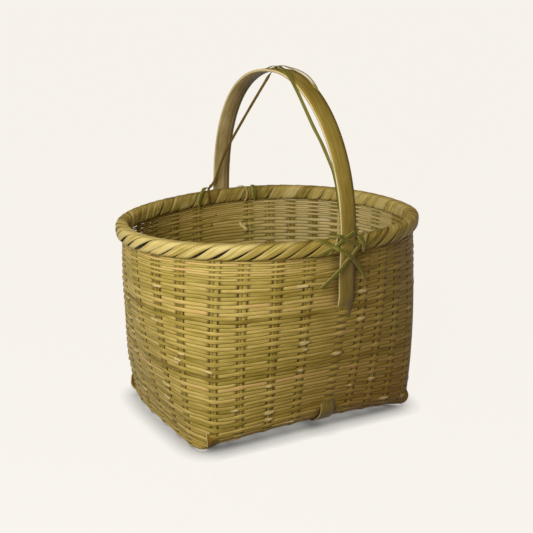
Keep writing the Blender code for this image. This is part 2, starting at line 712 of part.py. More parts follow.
def on_arch(share, across, level):
    """A stop by the arch: across in half widths, level 1 outside and -1 inside."""
    point, out, width = arch_frame(share)
    lift = HANDLE_THICKNESS / 2 + tie_lift(1) + CLEARANCE
    place = point + Vector((across * width / 2, 0, 0)) + out * lift * level
    edge = across if abs(across) > EDGE_TURN_SHARE else 0
    return place, (out * level + Vector((edge, 0, 0))).normalized()


def build_lashings(name, side, material, collection):
    """Two strips crossed over the handle at the rim, and a third round the rim beside it."""
    half = HANDLE_FOOT_WIDTH / 2 + 2 * TIE_THICKNESS + CLEARANCE
    width = TIE_WIDTH
    high = RIM_TOP + width
    low = RIM_MIDDLE + width
    rising = [on_rim(side, half + 3 * width, 6), on_rim(side, half + 2 * width, 5),
              on_rim(side, half + width, 4), on_face(side, half, high),
              on_face(side, -half, low), on_rim(side, -half - 2 * width, 2),
              on_rim(side, -half - 3 * width, 1)]
    falling = [on_rim(side, -half - 3 * width, 6), on_rim(side, -half - 2 * width, 5),
               on_rim(side, -half - width, 4), on_face(side, -half, high, 2),
               on_face(side, half, low, 2), on_rim(side, half + 2 * width, 2),
               on_rim(side, half + 3 * width, 1)]
    ring = [on_rim(side, half + 5 * width, corner) for corner in range(1, 8)]
    ribbon(f"{name}_lashing_rising", rising, material, collection)
    ribbon(f"{name}_lashing_falling", falling, material, collection)
    ribbon(f"{name}_rim_tie", ring, material, collection)


def loose_end(name, turn, level, reach, drop, material, collection):
    """A strip that crosses the near foot under the rim and hangs free beside it."""
    half = HANDLE_FOOT_WIDTH / 2 + 2 * TIE_THICKNESS + CLEARANCE
    edge_z = RIM_BOTTOM - drop / 4
    stops = []
    for step in range(LOOSE_STEPS + 1):
        share = step / LOOSE_STEPS
        stops.append(on_face(-1, (2 * share - 1) * turn * half,
                             RIM_MIDDLE + (edge_z - RIM_MIDDLE) * share, level))
    edge, face = stops[-1]
    tip_z = RIM_MIDDLE - drop
    share = handle_share(-1) + turn * reach / wall_round(tip_z)
    tip = wall_point(share, tip_z, -LOOSE_END_STAND)
    middle = edge.lerp(tip, 0.5) + Vector((turn * TIE_WIDTH / 2, 0, TIE_WIDTH / 2))
    ribbon(name, stops + [(middle, face), (tip, face)], material, collection)


def build_ties(material, collection):
    build_lashings("near", -1, material, collection)
    build_lashings("far", 1, material, collection)
    loose_end("near_loose_end_left", -1, 1, LEFT_LOOSE_REACH, LEFT_LOOSE_DROP, material, collection)
    loose_end("near_loose_end_right", 1, 2, RIGHT_LOOSE_REACH, RIGHT_LOOSE_DROP, material,
              collection)
    half = HANDLE_FOOT_WIDTH / 2 + TIE_WIDTH
    spiral = [on_rim(1, -half, 5)] + [on_arch(*stop) for stop in SPIRAL_SHARES]
    spiral.append(on_rim(-1, half, 5))
    ribbon("handle_spiral_tie", spiral, material, collection)
    ribbon("handle_top_tie", [on_arch(*stop) for stop in TOP_TIE_SHARES], material, collection)


def main():
    clear_scene()
    parts = new_collection("bamboo_shopping_basket")
    cutters = new_collection("cutters")
    weave = new_material("woven_bamboo", (0.34, 0.27, 0.10), 0.55)
    splint = new_material("splint_bamboo", (0.40, 0.34, 0.15), 0.5)
    skin = new_material("handle_bamboo", (0.36, 0.32, 0.10), 0.42)
    tie = new_material("tie_bamboo", (0.20, 0.22, 0.06), 0.5)
    build_wall(weave, parts, cutters)
    build_band(weave, parts, cutters)
    build_hoop("outer_hoop", 1, splint, parts)
    build_hoop("inner_hoop", -1, splint, parts)
    build_wraps(skin, parts)
    build_stakes(splint, parts)
    build_handle(skin, parts)
    build_brace("rising_brace", 1, 0.0, skin, parts)
    build_brace("falling_brace", -1, BRACE_THICKNESS + LAYER_CLEARANCE, skin, parts)
    build_ties(tie, parts)


main()
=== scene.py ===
# The look of the bamboo shopping basket. Sizes are in millimetres and become metres in
# Bundle.build. A share is a part of the way round the wall, from +X by way of the back.

import math

import bpy
import numpy as np
from mathutils import Matrix, Vector


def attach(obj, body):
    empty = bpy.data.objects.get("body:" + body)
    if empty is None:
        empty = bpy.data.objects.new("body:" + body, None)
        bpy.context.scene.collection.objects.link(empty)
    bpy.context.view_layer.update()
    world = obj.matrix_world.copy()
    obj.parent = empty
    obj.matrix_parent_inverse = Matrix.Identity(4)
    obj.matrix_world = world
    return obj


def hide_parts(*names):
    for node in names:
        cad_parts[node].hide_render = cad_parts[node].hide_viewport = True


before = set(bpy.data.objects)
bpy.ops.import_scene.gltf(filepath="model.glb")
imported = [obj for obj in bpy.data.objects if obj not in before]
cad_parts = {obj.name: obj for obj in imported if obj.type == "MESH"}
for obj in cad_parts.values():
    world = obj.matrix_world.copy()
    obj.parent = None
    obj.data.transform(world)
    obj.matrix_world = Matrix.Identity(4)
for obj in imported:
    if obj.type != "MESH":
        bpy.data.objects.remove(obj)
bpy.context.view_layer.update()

METRE = 0.001
rng = np.random.default_rng(31)

# Outlines of the wall, as half sizes and squareness, and the rim's section
BASE_SHAPE = (128.5, 96.3, 9.3)
TOP_SHAPE = (159.25, 122.25, 2.05)
RIM_SHAPE = (158.5, 121.5, 2.05)
FINE_STEPS = 2880
WALL_TOP = 198.0
BELLY_SHARE = 0.04
LONG_RADIUS = 20.0
SHORT_RADIUS = 5.0
CORNER_LIFT = 1.8
LONG_RISE = 8.4
SHORT_RISE = 1.0
FOOT_SPAN_X = 236.0
FOOT_SPAN_Y = 176.0
WALL_PATH = 199.0

RIM_TOP = 211.5
RIM_DEPTH = 15.0
RIM_BREADTH = 13.0
RIM_MIDDLE = RIM_TOP - RIM_DEPTH / 2

# The rim and the top of the weave sag and rise a little on the way round, and one corner of
# the base is drawn in
SETTLE_SHARES = (0.0, 0.08, 0.17, 0.25, 0.33, 0.42, 0.5, 0.58, 0.66, 0.92)
SETTLE_DEPTHS = (-3.2, -0.6, 1.1, -0.2, -2.6, -3.2, -2.6, -1.0, 0.0, -1.0)
SETTLE_SPREAD = 0.025
SETTLE_START = 110.0
CORNER_SHARE = 0.405
CORNER_DRAW = 4.5
CORNER_SPREAD = 0.035
CORNER_HEIGHT = 60.0

# Rows of weaving: count and pitch from the base up
LOW_ROWS, LOW_PITCH, LOW_START = 7, 2.5, 1.5
MAIN_ROWS, MAIN_PITCH = 43, 3.73
FINE_ROWS, FINE_PITCH = 9, 2.3
WEAVE_PIECES = 8
ROW_STEP, FEWEST_STEPS = 2.7, 12
ROW_INSET = 0.8
ROW_SWING, FINE_SWING = 0.95, 0.7
STRAND_HALF_THICK = 0.55
ROW_WOBBLE = (0.04, 60.0)
# Slow waves of the rows: size, count round the wall, height per turn and phase
ROW_WAVES = ((0.5, 3, 40, 0), (0.3, 7, -25, 1), (0.2, 17, 15, 2))

# Each strip of a row starts and stops near a pair of stakes, and its ends lap over the next
START_SPREAD, STOP_SPREAD = (-2, 6), (-2, 8)
LEAST_SHARE = 0.01
OVERLAP = 26.0
OVERLAP_SHARES = (0.6, 1.0)
LAP = 0.42
LAP_START = (OVERLAP * 0.9, OVERLAP * 1.5)
LAP_END = (OVERLAP * 1.3, OVERLAP * 0.6)
TAPER, TAPER_REACH = 0.45, (9, 4)
PEEL_LENGTH, PEEL_SPREAD = 9.0, (0.5, 1.3)
PEEL_RISE, PEEL_PALENESS = 1.3, 0.62

# A row runs flat between the pairs of stakes: it bends gently over a pair, and dives behind one
# close to its edge
PAIR_HALF_WIDTH = 2.8
PAIR_SPREAD = 2.6
BEND_LENGTH = 4.5
DIVE_LENGTH = 2.3
ROW_FULLNESS = 0.53
LOW_BULGE, TOP_BULGE, BULGE_HEIGHTS = 0.22, 0.08, (20, 170)
RIGHT_BULGE, RIGHT_BULGE_LOW = 0.2, 0.4
HIDDEN_BULGE = 0.09
# Where a row passes behind the handle, and the distances over which it gets there
BEHIND_HANDLE, HANDLE_CLEAR = -0.55, (8.0, 18.0)

# Near the rim at one end the rows are thin and let the light through
THIN_SHARE, THIN_SPREAD, THIN_ROWS, THIN_HEIGHTS = 0.425, 0.04, 0.5, (168, 180)

# Tone of the rows, paler near the rim, and painted light that makes them paler inside at one end,
# partly the pith's own paler colour
ROW_TONES = (0.5, 0.14)
RUN_SPREAD = 4000
TOP_TONE, TOP_TONE_HEIGHTS = 0.24, (150, 185)
INNER_PAINTED_LIGHT, INNER_PAINTED_LIGHT_SHARES = 0.4, (0.13, 0.24)
# Painted shade on a row where it passes behind a stake, and along its lower and upper edge
HIDDEN_SHADE = 0.95
LOWER_SHADE, LOWER_EDGE = 0.6, (0.45, 1.05)
UPPER_SHADE, UPPER_EDGE = 0.25, (0.75, 1.1)

# Where painted shade makes the weave darker and browner, standing in for the light falling away
# towards the right of the front, low down and inside, as shares of the way round and heights
RIGHT_FRONT_SHARES = (0.63, 0.86)
RIGHT_FRONT_END_SHARES = (0.95, 1.0)
BROAD_SHADE_LOW = (10.0, 110.0)
BROAD_SHADE_FRONT, BROAD_SHADE_BASE, BROAD_SHADE_ALL = 0.4, 0.25, 0.1
INNER_BROAD_SHADE, INNER_BROAD_SHADE_SHARES = 0.3, (0.18, 0.27)

# A cut end of a weaver inside the far wall
STUB_START, STUB_END = (26.5, 118.6, 170.4), (36.4, 114.6, 161.0)
STUB_HALF_WIDTH, STUB_STEPS = 2.0, 5
STUB_TONE, STUB_PALENESS = 0.6, 0.45

# Stakes
CROSS_PLACES = (-112.4, -87.0, -55.9, -26.0, 36.2, 61.0, 85.1, 110.5)
LONG_PLACES = (-67.4, -40.4, -8.2, 24.1, 52.5, 76.1)
HANDLE_X = 9.0
HANDLE_LEAN = 7.0
HANDLE_IN, HANDLE_OUT = 146.0, 30.0
LEAN_HEIGHT, LEAN_TOP = 141.0, 196.5
STAKE_HALF_THICK = 0.4
STAKE_INSET = 0.7
STAKE_TONES = (0.2, 0.8)
# Painted shade on a strip's outer edge and on the rest of it
STAKE_EDGE_SHADE, STAKE_SHADE = 0.9, 0.05
# Steps down the wall, round its lower edge and across the base
STAKE_PATH = np.concatenate([np.linspace(197, 40, 40), np.linspace(37, 0, 16)])
BASE_STEPS = 40
# Height of the strips over the base's mat, and how far they rise and fall at crossings
MAT_LIFT, CROSSING_LIFT = 1.3, 0.6
# Edges of the two strips of a pair, at the base and at the rim
NARROW_STRIP = ((-2.4, -4.0), (-0.03, -0.14))
WIDE_STRIP = ((0.03, 0.14), (2.4, 5.8))
PAIR_SHIFT_LOW, PAIR_SHIFT = 0.0, 0.9

# Handle
HANDLE_TOP = 358.0
HANDLE_THICK = 2.8
TAIL_THICK = 1.2
HANDLE_TOP_WIDTH = 20.0
HANDLE_FOOT_WIDTH = 16.5
FAR_FOOT_WIDTH = 20.0
HANDLE_REACH = 128.3
HANDLE_SPRING = 209.9
NEAR_SQUARENESS = 1.96
FAR_SQUARENESS = 2.36


def signed_power(values, power):
    return np.sign(values) * np.abs(values) ** power


def distance_along(x, y):
    return np.concatenate(([0], np.cumsum(np.hypot(np.diff(x), np.diff(y)))))


def oval(half_x, half_y, squareness):
    turn = np.linspace(0, 2 * math.pi, FINE_STEPS + 1)
    x = half_x * signed_power(np.cos(turn), 2 / squareness)
    y = half_y * signed_power(np.sin(turn), 2 / squareness)
    run = distance_along(x, y)
    return x, y, run / run[-1], run[-1]


def ring(outline, share):
    x, y, shares, _ = outline
    share = np.asarray(share) % 1
    return np.stack([np.interp(share, shares, x), np.interp(share, shares, y)], -1)


BASE = oval(*BASE_SHAPE)
TOP = oval(*TOP_SHAPE)
RIM = oval(*RIM_SHAPE)


def unit(v):
    return v / np.maximum(np.linalg.norm(v, axis=-1, keepdims=True), 1e-9)


def blend(x, low, high):
    t = np.clip((x - low) / (high - low), 0, 1)
    return t * t * (3 - 2 * t)


def away_from(share, middle):
    """The share between two places the short way round, with its sign."""
    return (np.asarray(share) - middle + 0.5) % 1 - 0.5


def close_to(share, middle, spread):
    """1 at a place on the way round, falling to 0 on both sides of it."""
    return np.exp(-(away_from(share, middle) / spread) ** 2)


def mat_height(x, y):
    """Height of the base's mat, which is arched over its four feet."""
    long_rise = LONG_RISE * (1 - (2 * x / FOOT_SPAN_X) ** 2)
    short_rise = SHORT_RISE * (1 - (2 * y / FOOT_SPAN_Y) ** 2)
    return CORNER_LIFT + long_rise + short_rise


def swell_at(rise):
    return 1 + BELLY_SHARE * 4 * rise * (1 - rise)


def smooth_round(shares, values):
    """A smooth closed curve through values at shares of the way round, as a table."""
    places = np.arange(FINE_STEPS) / FINE_STEPS
    table = np.interp(places, shares, values, period=1)
    spread = np.exp(-0.5 * (np.minimum(places, 1 - places) / SETTLE_SPREAD) ** 2)
    return np.real(np.fft.ifft(np.fft.fft(table) * np.fft.fft(spread / spread.sum())))


SETTLE = smooth_round(SETTLE_SHARES, SETTLE_DEPTHS)


def settle(share, z):
    """How far the top of the basket has sunk or risen round its way."""
    place = (np.asarray(share) % 1) * FINE_STEPS
    depth = np.interp(place, np.arange(FINE_STEPS), SETTLE, period=FINE_STEPS)
    return depth * blend(z, SETTLE_START, WALL_TOP)


def drawn_in(share, z):
    """How far the left back corner is drawn in, low down."""
    low = 1 - blend(z, 0, CORNER_HEIGHT)
    return CORNER_DRAW * close_to(share, CORNER_SHARE, CORNER_SPREAD) * low


def wall(share, path):
    """Points of the wall's outer face: path is the way up it from its edge under the base."""
    share, path = np.broadcast_arrays(np.asarray(share, float), np.asarray(path, float))
    step = 4 / FINE_STEPS
    along = unit(ring(BASE, share + step) - ring(BASE, share - step))
    inward = np.stack([-along[..., 1], along[..., 0]], -1)
    radius = SHORT_RADIUS + (LONG_RADIUS - SHORT_RADIUS) * inward[..., 1] ** 4
    base, top = ring(BASE, share), ring(TOP, share)
    under = base + inward * radius[..., None]
    knee = mat_height(under[..., 0], under[..., 1]) + radius
    arc = radius * math.pi / 2
    z = knee + np.maximum(path - arc, 0) * (WALL_TOP - knee) / (WALL_PATH - arc)
    rise = np.minimum(z / WALL_TOP, 1)
    flat = (base + (top - base) * rise[..., None]) * swell_at(rise)[..., None]
    turn = np.clip(arc - path, 0, arc) / radius
    flat = flat + inward * (radius * (1 - np.cos(turn)) + drawn_in(share, z))[..., None]
    z = z + settle(share, z)
    return np.concatenate([flat, (z - radius * np.sin(turn))[..., None]], -1)


def wall_frame(share, path):
    """Points on the wall with their directions along it, up it and outward."""
    share, path = np.broadcast_arrays(np.asarray(share, float), np.asarray(path, float))
    aside, above = 0.0012, 0.8
    along = unit(wall(share + aside, path) - wall(share - aside, path))
    up = unit(wall(share, path + above) - wall(share, np.maximum(path - above, 0)))
    out = unit(np.cross(along, up))
    return wall(share, path), along, unit(np.cross(out, along)), out


def wall_round(path):
    """Length of the way round the wall."""
    rise = np.clip(np.asarray(path) / WALL_TOP, 0, 1)
    return (BASE[3] + (TOP[3] - BASE[3]) * rise) * swell_at(rise)


def share_at(place, side):
    """Share of the way round of a place along the front, back, left or right."""
    x, y, shares, _ = BASE
    chosen = {"front": y < 0, "back": y > 0, "left": x < 0, "right": x > 0}[side]
    values, rounds = (x if side in ("front", "back") else y)[chosen], shares[chosen]
    if side == "right":
        rounds = (rounds + 0.5) % 1 - 0.5
    order = np.argsort(values)
    return float(np.interp(place, values[order], rounds[order]))


# Building meshes

class Bundle:
    """Strips gathered into one mesh, each with its attributes."""

    def __init__(self):
        self.verts, self.faces, self.indices, self.count = [], [], [], 0
        self.attributes = {key: [] for key in ("tone", "run", "across", "peel", "shade", "aged")}

    def add(self, rings, across, tone, run, peel=0.0, closed=False, kinds=None, shade=0.0,
            aged=0.0):
        """Rings is an array of sections: step, corner, place. Kinds are the sides' materials."""
        steps, corners = rings.shape[:2]
        here = self.count + np.arange(steps * corners).reshape(steps, corners)
        rows = np.vstack([here, here[:1]]) if closed else here
        a, d = rows[:-1], rows[1:]
        b, c = np.roll(a, -1, 1), np.roll(d, -1, 1)
        self.faces += np.stack([a, b, c, d], -1).reshape(-1, 4).tolist()
        kinds = kinds or [0] * corners
        self.indices += kinds * len(a)
        if not closed:
            self.faces += [here[0][::-1].tolist(), here[-1].tolist()]
            self.indices += [kinds[-1]] * 2
        self.verts.append(rings.reshape(-1, 3))
        self.count += steps * corners
        shape = (steps, corners)
        for key, value in (("tone", tone), ("run", np.asarray(run)[:, None]),
                           ("across", np.asarray(across)[None]), ("peel", peel),
                           ("shade", shade), ("aged", aged)):
            self.attributes[key].append(np.broadcast_to(value, shape).ravel())

    def build(self, name, materials, node):
        mesh = bpy.data.meshes.new(name)
        mesh.from_pydata((np.concatenate(self.verts) * METRE).tolist(), [], self.faces)
        mesh.polygons.foreach_set("use_smooth", np.ones(len(mesh.polygons), bool))
        for key, values in self.attributes.items():
            mesh.attributes.new(key, "FLOAT", "POINT").data.foreach_set(
                "value", np.concatenate(values).astype(np.float32))
        for material in materials:
            mesh.materials.append(material)
        mesh.polygons.foreach_set("material_index", np.asarray(self.indices, np.int32))
        mesh.validate()
        mesh.update()
        piece = bpy.data.objects.new(name, mesh)
        bpy.context.scene.collection.objects.link(piece)
        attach(piece, "root")
        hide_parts(node)


# Corners of the strips' sections, across and outward
ROUND_ACROSS = np.array([-1, -0.8, -0.35, 0.35, 0.8, 1, 0.85, 0, -0.85])
ROUND_OUT = np.array([-0.1, 0.7, 1, 1, 0.7, -0.1, -0.8, -1, -0.8])
# The sides of a row that face the inside, and the painted shade along its edges
ROUND_INNER = np.where(ROUND_OUT < -0.5, 1.0, 0.0)
ROUND_SHADE = (blend(-ROUND_ACROSS, *LOWER_EDGE) * LOWER_SHADE
               + blend(ROUND_ACROSS, *UPPER_EDGE) * UPPER_SHADE)
FLAT_ACROSS = np.array([-1, -0.86, 0, 0.86, 1, 0.86, 0, -0.86])
FLAT_OUT = np.array([0, 0.9, 1.1, 0.9, 0, -1, -1, -1])
STAKE_ACROSS = np.array([-1, -0.76, 0, 0.76, 1, 0.86, 0, -0.86])


def sections(centre, up, out, half, thick, across=FLAT_ACROSS, outward=FLAT_OUT):
    """Sections of a strip: half its width lies along up, half its thickness along out."""
    half = np.broadcast_to(half, len(centre))[:, None, None]
    thick = np.broadcast_to(thick, len(centre))[:, None, None]
    return (centre[:, None] + up[:, None] * half * across[None, :, None]
            + out[:, None] * thick * outward[None, :, None])


def run_of(centre):
    """Distance along a strip at each of its sections."""
    steps = np.linalg.norm(np.diff(centre, axis=0), axis=1)
    return np.concatenate(([0], np.cumsum(steps)))


# A wobble adds waves of these counts
WOBBLE_COUNTS, WOBBLE_PHASES, WOBBLE_TOTAL = (1.0, 1.7, 2.9), 6.28, 1.8


def towards_end(run, far, near):
    """0 along a strip, rising to 1 between two distances from its end."""
    return blend(run, run[-1] - far, run[-1] - near)


def wobble(run, size, wave):
    """A slow random wave along a strip."""
    total = np.zeros(len(run))
    for k in WOBBLE_COUNTS:
        total += np.sin(run / wave * k * 2 * math.pi + rng.uniform(0, WOBBLE_PHASES)) / k
    return total * size / WOBBLE_TOTAL


# Where the stakes stand round the wall

STAKES = []
for place in CROSS_PLACES:
    STAKES.append((share_at(place, "front"), 1.0, "pair"))
    STAKES.append((share_at(place, "back"), -1.0, "pair"))
for place in LONG_PLACES:
    STAKES.append((share_at(place, "left"), -1.0, "pair"))
    STAKES.append((share_at(place, "right") % 1, 1.0, "pair"))
HANDLE_SHARES = {-1: share_at(HANDLE_X, "front"), 1: share_at(HANDLE_X, "back")}
STAKES.append((HANDLE_SHARES[-1], 1.0, "handle"))
STAKES.append((HANDLE_SHARES[1], -1.0, "handle"))
STAKES.sort()


def handle_lean(z):
    """Sideways lean of the handle's feet towards +X, the most at LEAN_HEIGHT."""
    low = np.clip(z / LEAN_HEIGHT, 0, 1)
    high = np.clip((LEAN_TOP - z) / (LEAN_TOP - LEAN_HEIGHT), 0, 1)
    return HANDLE_LEAN * np.where(np.asarray(z) < LEAN_HEIGHT, low, high)


def stake_shares(path):
    """Shares of all stake middles at a height up the wall."""
    result = []
    for share, side, kind in STAKES:
        if kind == "handle":
            offset = float(handle_lean(path)) * side
        else:
            offset = side * (PAIR_SHIFT_LOW + PAIR_SHIFT * (path / WALL_PATH) ** 2)
        result.append(share + offset / wall_round(path))
    return np.array(result)


# The woven rows

def row_levels():
    low = LOW_START + LOW_PITCH * np.arange(LOW_ROWS)
    main = low[-1] + (LOW_PITCH + MAIN_PITCH) / 2 + MAIN_PITCH * np.arange(MAIN_ROWS)
    fine = main[-1] + (MAIN_PITCH + FINE_PITCH) / 2 + FINE_PITCH * np.arange(FINE_ROWS)
    pitches = [LOW_PITCH] * LOW_ROWS + [MAIN_PITCH] * MAIN_ROWS + [FINE_PITCH] * FINE_ROWS
    return np.concatenate([low, main, fine]), np.array(pitches)


def row_swing(share, number, path):
    """How far a row swings at the stakes: 1 in front of them, -1 behind."""
    middles = stake_shares(path)
    count = len(middles)
    index = np.arange(-count, 2 * count)
    places = np.concatenate([middles - 1, middles, middles + 1])
    phase = np.interp(share % 1, places, index)
    near = np.round(phase)
    around = wall_round(path)
    nearest = np.interp(near, index, places)
    distance = np.abs(share % 1 - nearest) * around
    following = np.interp(near + np.where(phase < near, -1, 1), index, places)
    halfway = np.abs(following - nearest) * around / 2
    edge = PAIR_HALF_WIDTH + PAIR_SPREAD * (path / WALL_PATH) ** 2
    outside = 1 - blend(distance, edge - BEND_LENGTH, np.minimum(edge + BEND_LENGTH, halfway))
    inside = 1 - blend(distance, edge, np.minimum(edge + DIVE_LENGTH, halfway))
    swing = np.where((near + number) % 2 == 0, outside, -inside)
    for middle, (_, _, kind) in zip(middles, STAKES):
        if kind == "handle" and (path > HANDLE_IN or path < HANDLE_OUT):
            away = np.abs(away_from(share, middle)) * around
            swing = swing + (BEHIND_HANDLE - swing) * (1 - blend(away, *HANDLE_CLEAR))
    return swing


def build_weave(material):
    levels, pitches = row_levels()
    first_fine = LOW_ROWS + MAIN_ROWS
    groups = np.array_split(np.arange(first_fine), WEAVE_PIECES)
    groups.append(np.arange(first_fine, len(levels)))
    for index, group in enumerate(groups, 1):
        bundle = Bundle()
        for number in group:
            add_row(bundle, number, levels[number], pitches[number])
        if index == WEAVE_PIECES:
            add_stub(bundle)
        name, node = f"woven_rows_{index}", "woven_wall"
        if index > WEAVE_PIECES:
            name, node = "fine_rows", "fine_top_band"
        bundle.build(name, [material], node)


def add_stub(bundle):
    """A cut end of a weaver that stands out inside the far wall."""
    start, stop = np.array(STUB_START), np.array(STUB_END)
    centre = start + (stop - start) * np.linspace(0, 1, STUB_STEPS)[:, None]
    out = np.tile([0.0, -1.0, 0.0], (STUB_STEPS, 1))
    up = unit(np.cross(out, np.tile(unit(stop - start), (STUB_STEPS, 1))))
    rings = sections(centre, up, out, STUB_HALF_WIDTH, STRAND_HALF_THICK)
    bundle.add(rings, FLAT_ACROSS, STUB_TONE, run_of(centre), peel=STUB_PALENESS)


def waviness(share, path):
    """Slow rise and fall that neighbouring rows have in common."""
    turn = 2 * math.pi * share
    return sum(size * np.sin(count * turn + path / height + phase)
               for size, count, height, phase in ROW_WAVES)


def towards_right(share):
    """Grows along the front from left to right, and falls again past its right corner."""
    return blend(share % 1, *RIGHT_FRONT_SHARES) * (1 - blend(share % 1, *RIGHT_FRONT_END_SHARES))


def row_strips(number, path, fine):
    """Shares at which the strips of a row start and stop."""
    around = wall_round(path)
    middles = stake_shares(path)
    outside = [k for k in range(len(middles)) if (k + number) % 2 == 0]
    pieces = 1 if fine else int(rng.integers(1, 3))
    breaks = np.sort(rng.choice(outside, pieces, replace=False))
    for k, here in enumerate(breaks):
        start = middles[here] + rng.uniform(*START_SPREAD) / around
        stop = middles[breaks[(k + 1) % pieces]] + rng.uniform(*STOP_SPREAD) / around
        if stop <= start + LEAST_SHARE:
            stop += 1
        yield start - rng.uniform(*OVERLAP_SHARES) * OVERLAP / around, stop


def row_half_width(share, path, pitch, swing, run):
    """A row is fuller in front of a stake, most so low down, and thin where light shows."""
    high = blend(path, *BULGE_HEIGHTS)
    right = RIGHT_BULGE * towards_right(share) * (RIGHT_BULGE_LOW + (1 - RIGHT_BULGE_LOW) * high)
    bulge = LOW_BULGE + (TOP_BULGE - LOW_BULGE) * high + right
    bulge = np.where(swing > 0, bulge * swing, -HIDDEN_BULGE * swing)
    half = pitch * (ROW_FULLNESS + bulge) * (1 + wobble(run, *ROW_WOBBLE))
    thin = THIN_ROWS * close_to(share, THIN_SHARE, THIN_SPREAD) * blend(path, *THIN_HEIGHTS)
    return half * (1 - thin)


def row_broad_shade(share, path):
    """Painted shade that darkens and browns a row on its outer and inner sides."""
    low = 1 - blend(path, *BROAD_SHADE_LOW)
    outer = towards_right(share) * (BROAD_SHADE_FRONT + BROAD_SHADE_BASE * low) + BROAD_SHADE_ALL * low
    inner = INNER_BROAD_SHADE * blend(share % 1, *INNER_BROAD_SHADE_SHARES)
    return outer[:, None] * (1 - ROUND_INNER) + inner[:, None] * ROUND_INNER


def row_shade(swing):
    """Painted shade on a row's sides that face a stake, and along its edges."""
    deep = np.clip((2 * ROUND_INNER - 1) * swing[:, None], 0, 1)
    return 1 - (1 - HIDDEN_SHADE * deep) * (1 - ROUND_SHADE)


def add_row(bundle, number, path, pitch):
    fine = pitch == FINE_PITCH
    around = wall_round(path)
    for start, stop in row_strips(number, path, fine):
        steps = max(int((stop - start) * around / ROW_STEP), FEWEST_STEPS)
        share = np.linspace(start, stop, steps)
        run = (share - start) * around
        centre, _, up, out = wall_frame(share, path + waviness(share, path))
        swing = (FINE_SWING if fine else 1.0) * row_swing(share, number, path)
        lap = LAP * (towards_end(run, *LAP_END) + blend(run, *LAP_START) - 1)
        half = row_half_width(share, path, pitch, swing, run)
        centre = centre + out * (ROW_SWING * swing + lap - ROW_INSET)[:, None]
        reach = rng.uniform(*PEEL_SPREAD) * PEEL_LENGTH
        peel = towards_end(run, PEEL_RISE * reach, reach) * (0 if fine else PEEL_PALENESS)
        # Painted light: the inner sides are paler at the end the lamp lights, partly the pith's own
        # paler colour
        inner_light = INNER_PAINTED_LIGHT * (1 - blend(share % 1, *INNER_PAINTED_LIGHT_SHARES))
        peel = np.maximum(peel[:, None], inner_light[:, None] * ROUND_INNER)
        taper = 1 - TAPER * towards_end(run, *TAPER_REACH)
        rings = sections(centre, up, out, half * taper, STRAND_HALF_THICK, ROUND_ACROSS, ROUND_OUT)
        tone = rng.normal(*ROW_TONES) + TOP_TONE * blend(path, *TOP_TONE_HEIGHTS)
        bundle.add(rings, ROUND_ACROSS, tone, run + rng.uniform(0, RUN_SPREAD), peel,
                   shade=row_shade(swing), aged=row_broad_shade(share, path))


# Stakes

def strip_on_wall(share, side, offsets, path):
    """Centres of a strip on the wall, its directions across and out, and its half widths."""
    around = wall_round(path)
    left, right = (low + (high - low) * (path / WALL_PATH) ** 2 for low, high in offsets)
    one, _, _, out = wall_frame(share + side * left / around, path)
    two = wall_frame(share + side * right / around, path)[0]
    centre = (one + two) / 2 - out * STAKE_INSET
    return centre, unit(two - one), out, np.linalg.norm(two - one, axis=1) / 2


def over_base(one, two, count):
    """A strip down one leg, straight across and up the other, and a view of its middle part."""
    (c1, a1, n1), (c2, a2, n2) = one, two
    reach = np.linspace(0, 1, count)[1:-1, None]
    middle = c1[-1] + (c2[-1] - c1[-1]) * reach
    across = a1[-1] + (a2[-1] - a1[-1]) * reach
    down = np.tile([0.0, 0, -1], (len(middle), 1))
    centre = np.concatenate([c1, middle, c2[::-1]])
    sides = unit(np.concatenate([a1, across, a2[::-1]]))
    return centre, sides, np.concatenate([n1, down, n2[::-1]]), centre[len(c1):-len(c2)]


def build_stakes(material):
    rows = (("cross", CROSS_PLACES, (("front", 1.0), ("back", -1.0)), LONG_PLACES, 1),
            ("long", LONG_PLACES, (("left", -1.0), ("right", 1.0)), CROSS_PLACES, 0))
    for row, places, walls, others, key in rows:
        for number, place in enumerate(places, 1):
            for label, outer, offsets in (("narrow", -1, NARROW_STRIP), ("wide", 1, WIDE_STRIP)):
                (*one, h1), (*two, h2) = (
                    strip_on_wall(share_at(place, side), sign, offsets, STAKE_PATH)
                    for side, sign in walls)
                centre, sides, out, middle = over_base(one, two, BASE_STEPS)
                phase = np.interp(middle[:, key], others, np.arange(len(others)))
                lift = CROSSING_LIFT * np.cos(math.pi * (phase + number + key))
                middle[:, 2] = mat_height(middle[:, 0], middle[:, 1]) + MAT_LIFT + lift
                flat = np.full(len(middle), (h1[-1] + h2[-1]) / 2)
                half = np.concatenate([h1, flat, h2[::-1]])
                rings = sections(centre, sides, out, half, STAKE_HALF_THICK, STAKE_ACROSS)
                edge = STAKE_ACROSS * outer == 1
                bundle = Bundle()
                bundle.add(rings, STAKE_ACROSS, rng.uniform(*STAKE_TONES), run_of(centre),
                           shade=np.where(edge, STAKE_EDGE_SHADE, STAKE_SHADE))
                name = f"{row}_stake_{number}_{label}"
                bundle.build(f"{name}_strip", [material], name)


# Rim

RIM_SQUARENESS = 3.4


def section_at(turn, lift=0.0):
    power = 2 / RIM_SQUARENESS
    out = signed_power(np.sin(turn), power) * (RIM_BREADTH / 2 + lift)
    up = -signed_power(np.cos(turn), power) * (RIM_DEPTH / 2 + lift)
    return out, up


# Turns of the rim's section, and the shares of its length that they stand at
SECTION_TURNS = np.linspace(0, 2 * math.pi, FINE_STEPS + 1)
SECTION_RUN = distance_along(*section_at(SECTION_TURNS))


def rim_section(angle, lift):
    """Places round the rim's section: 0 at the bottom, a quarter outside, a half on top."""
    return section_at(np.interp(angle, SECTION_RUN / SECTION_RUN[-1], SECTION_TURNS), lift)


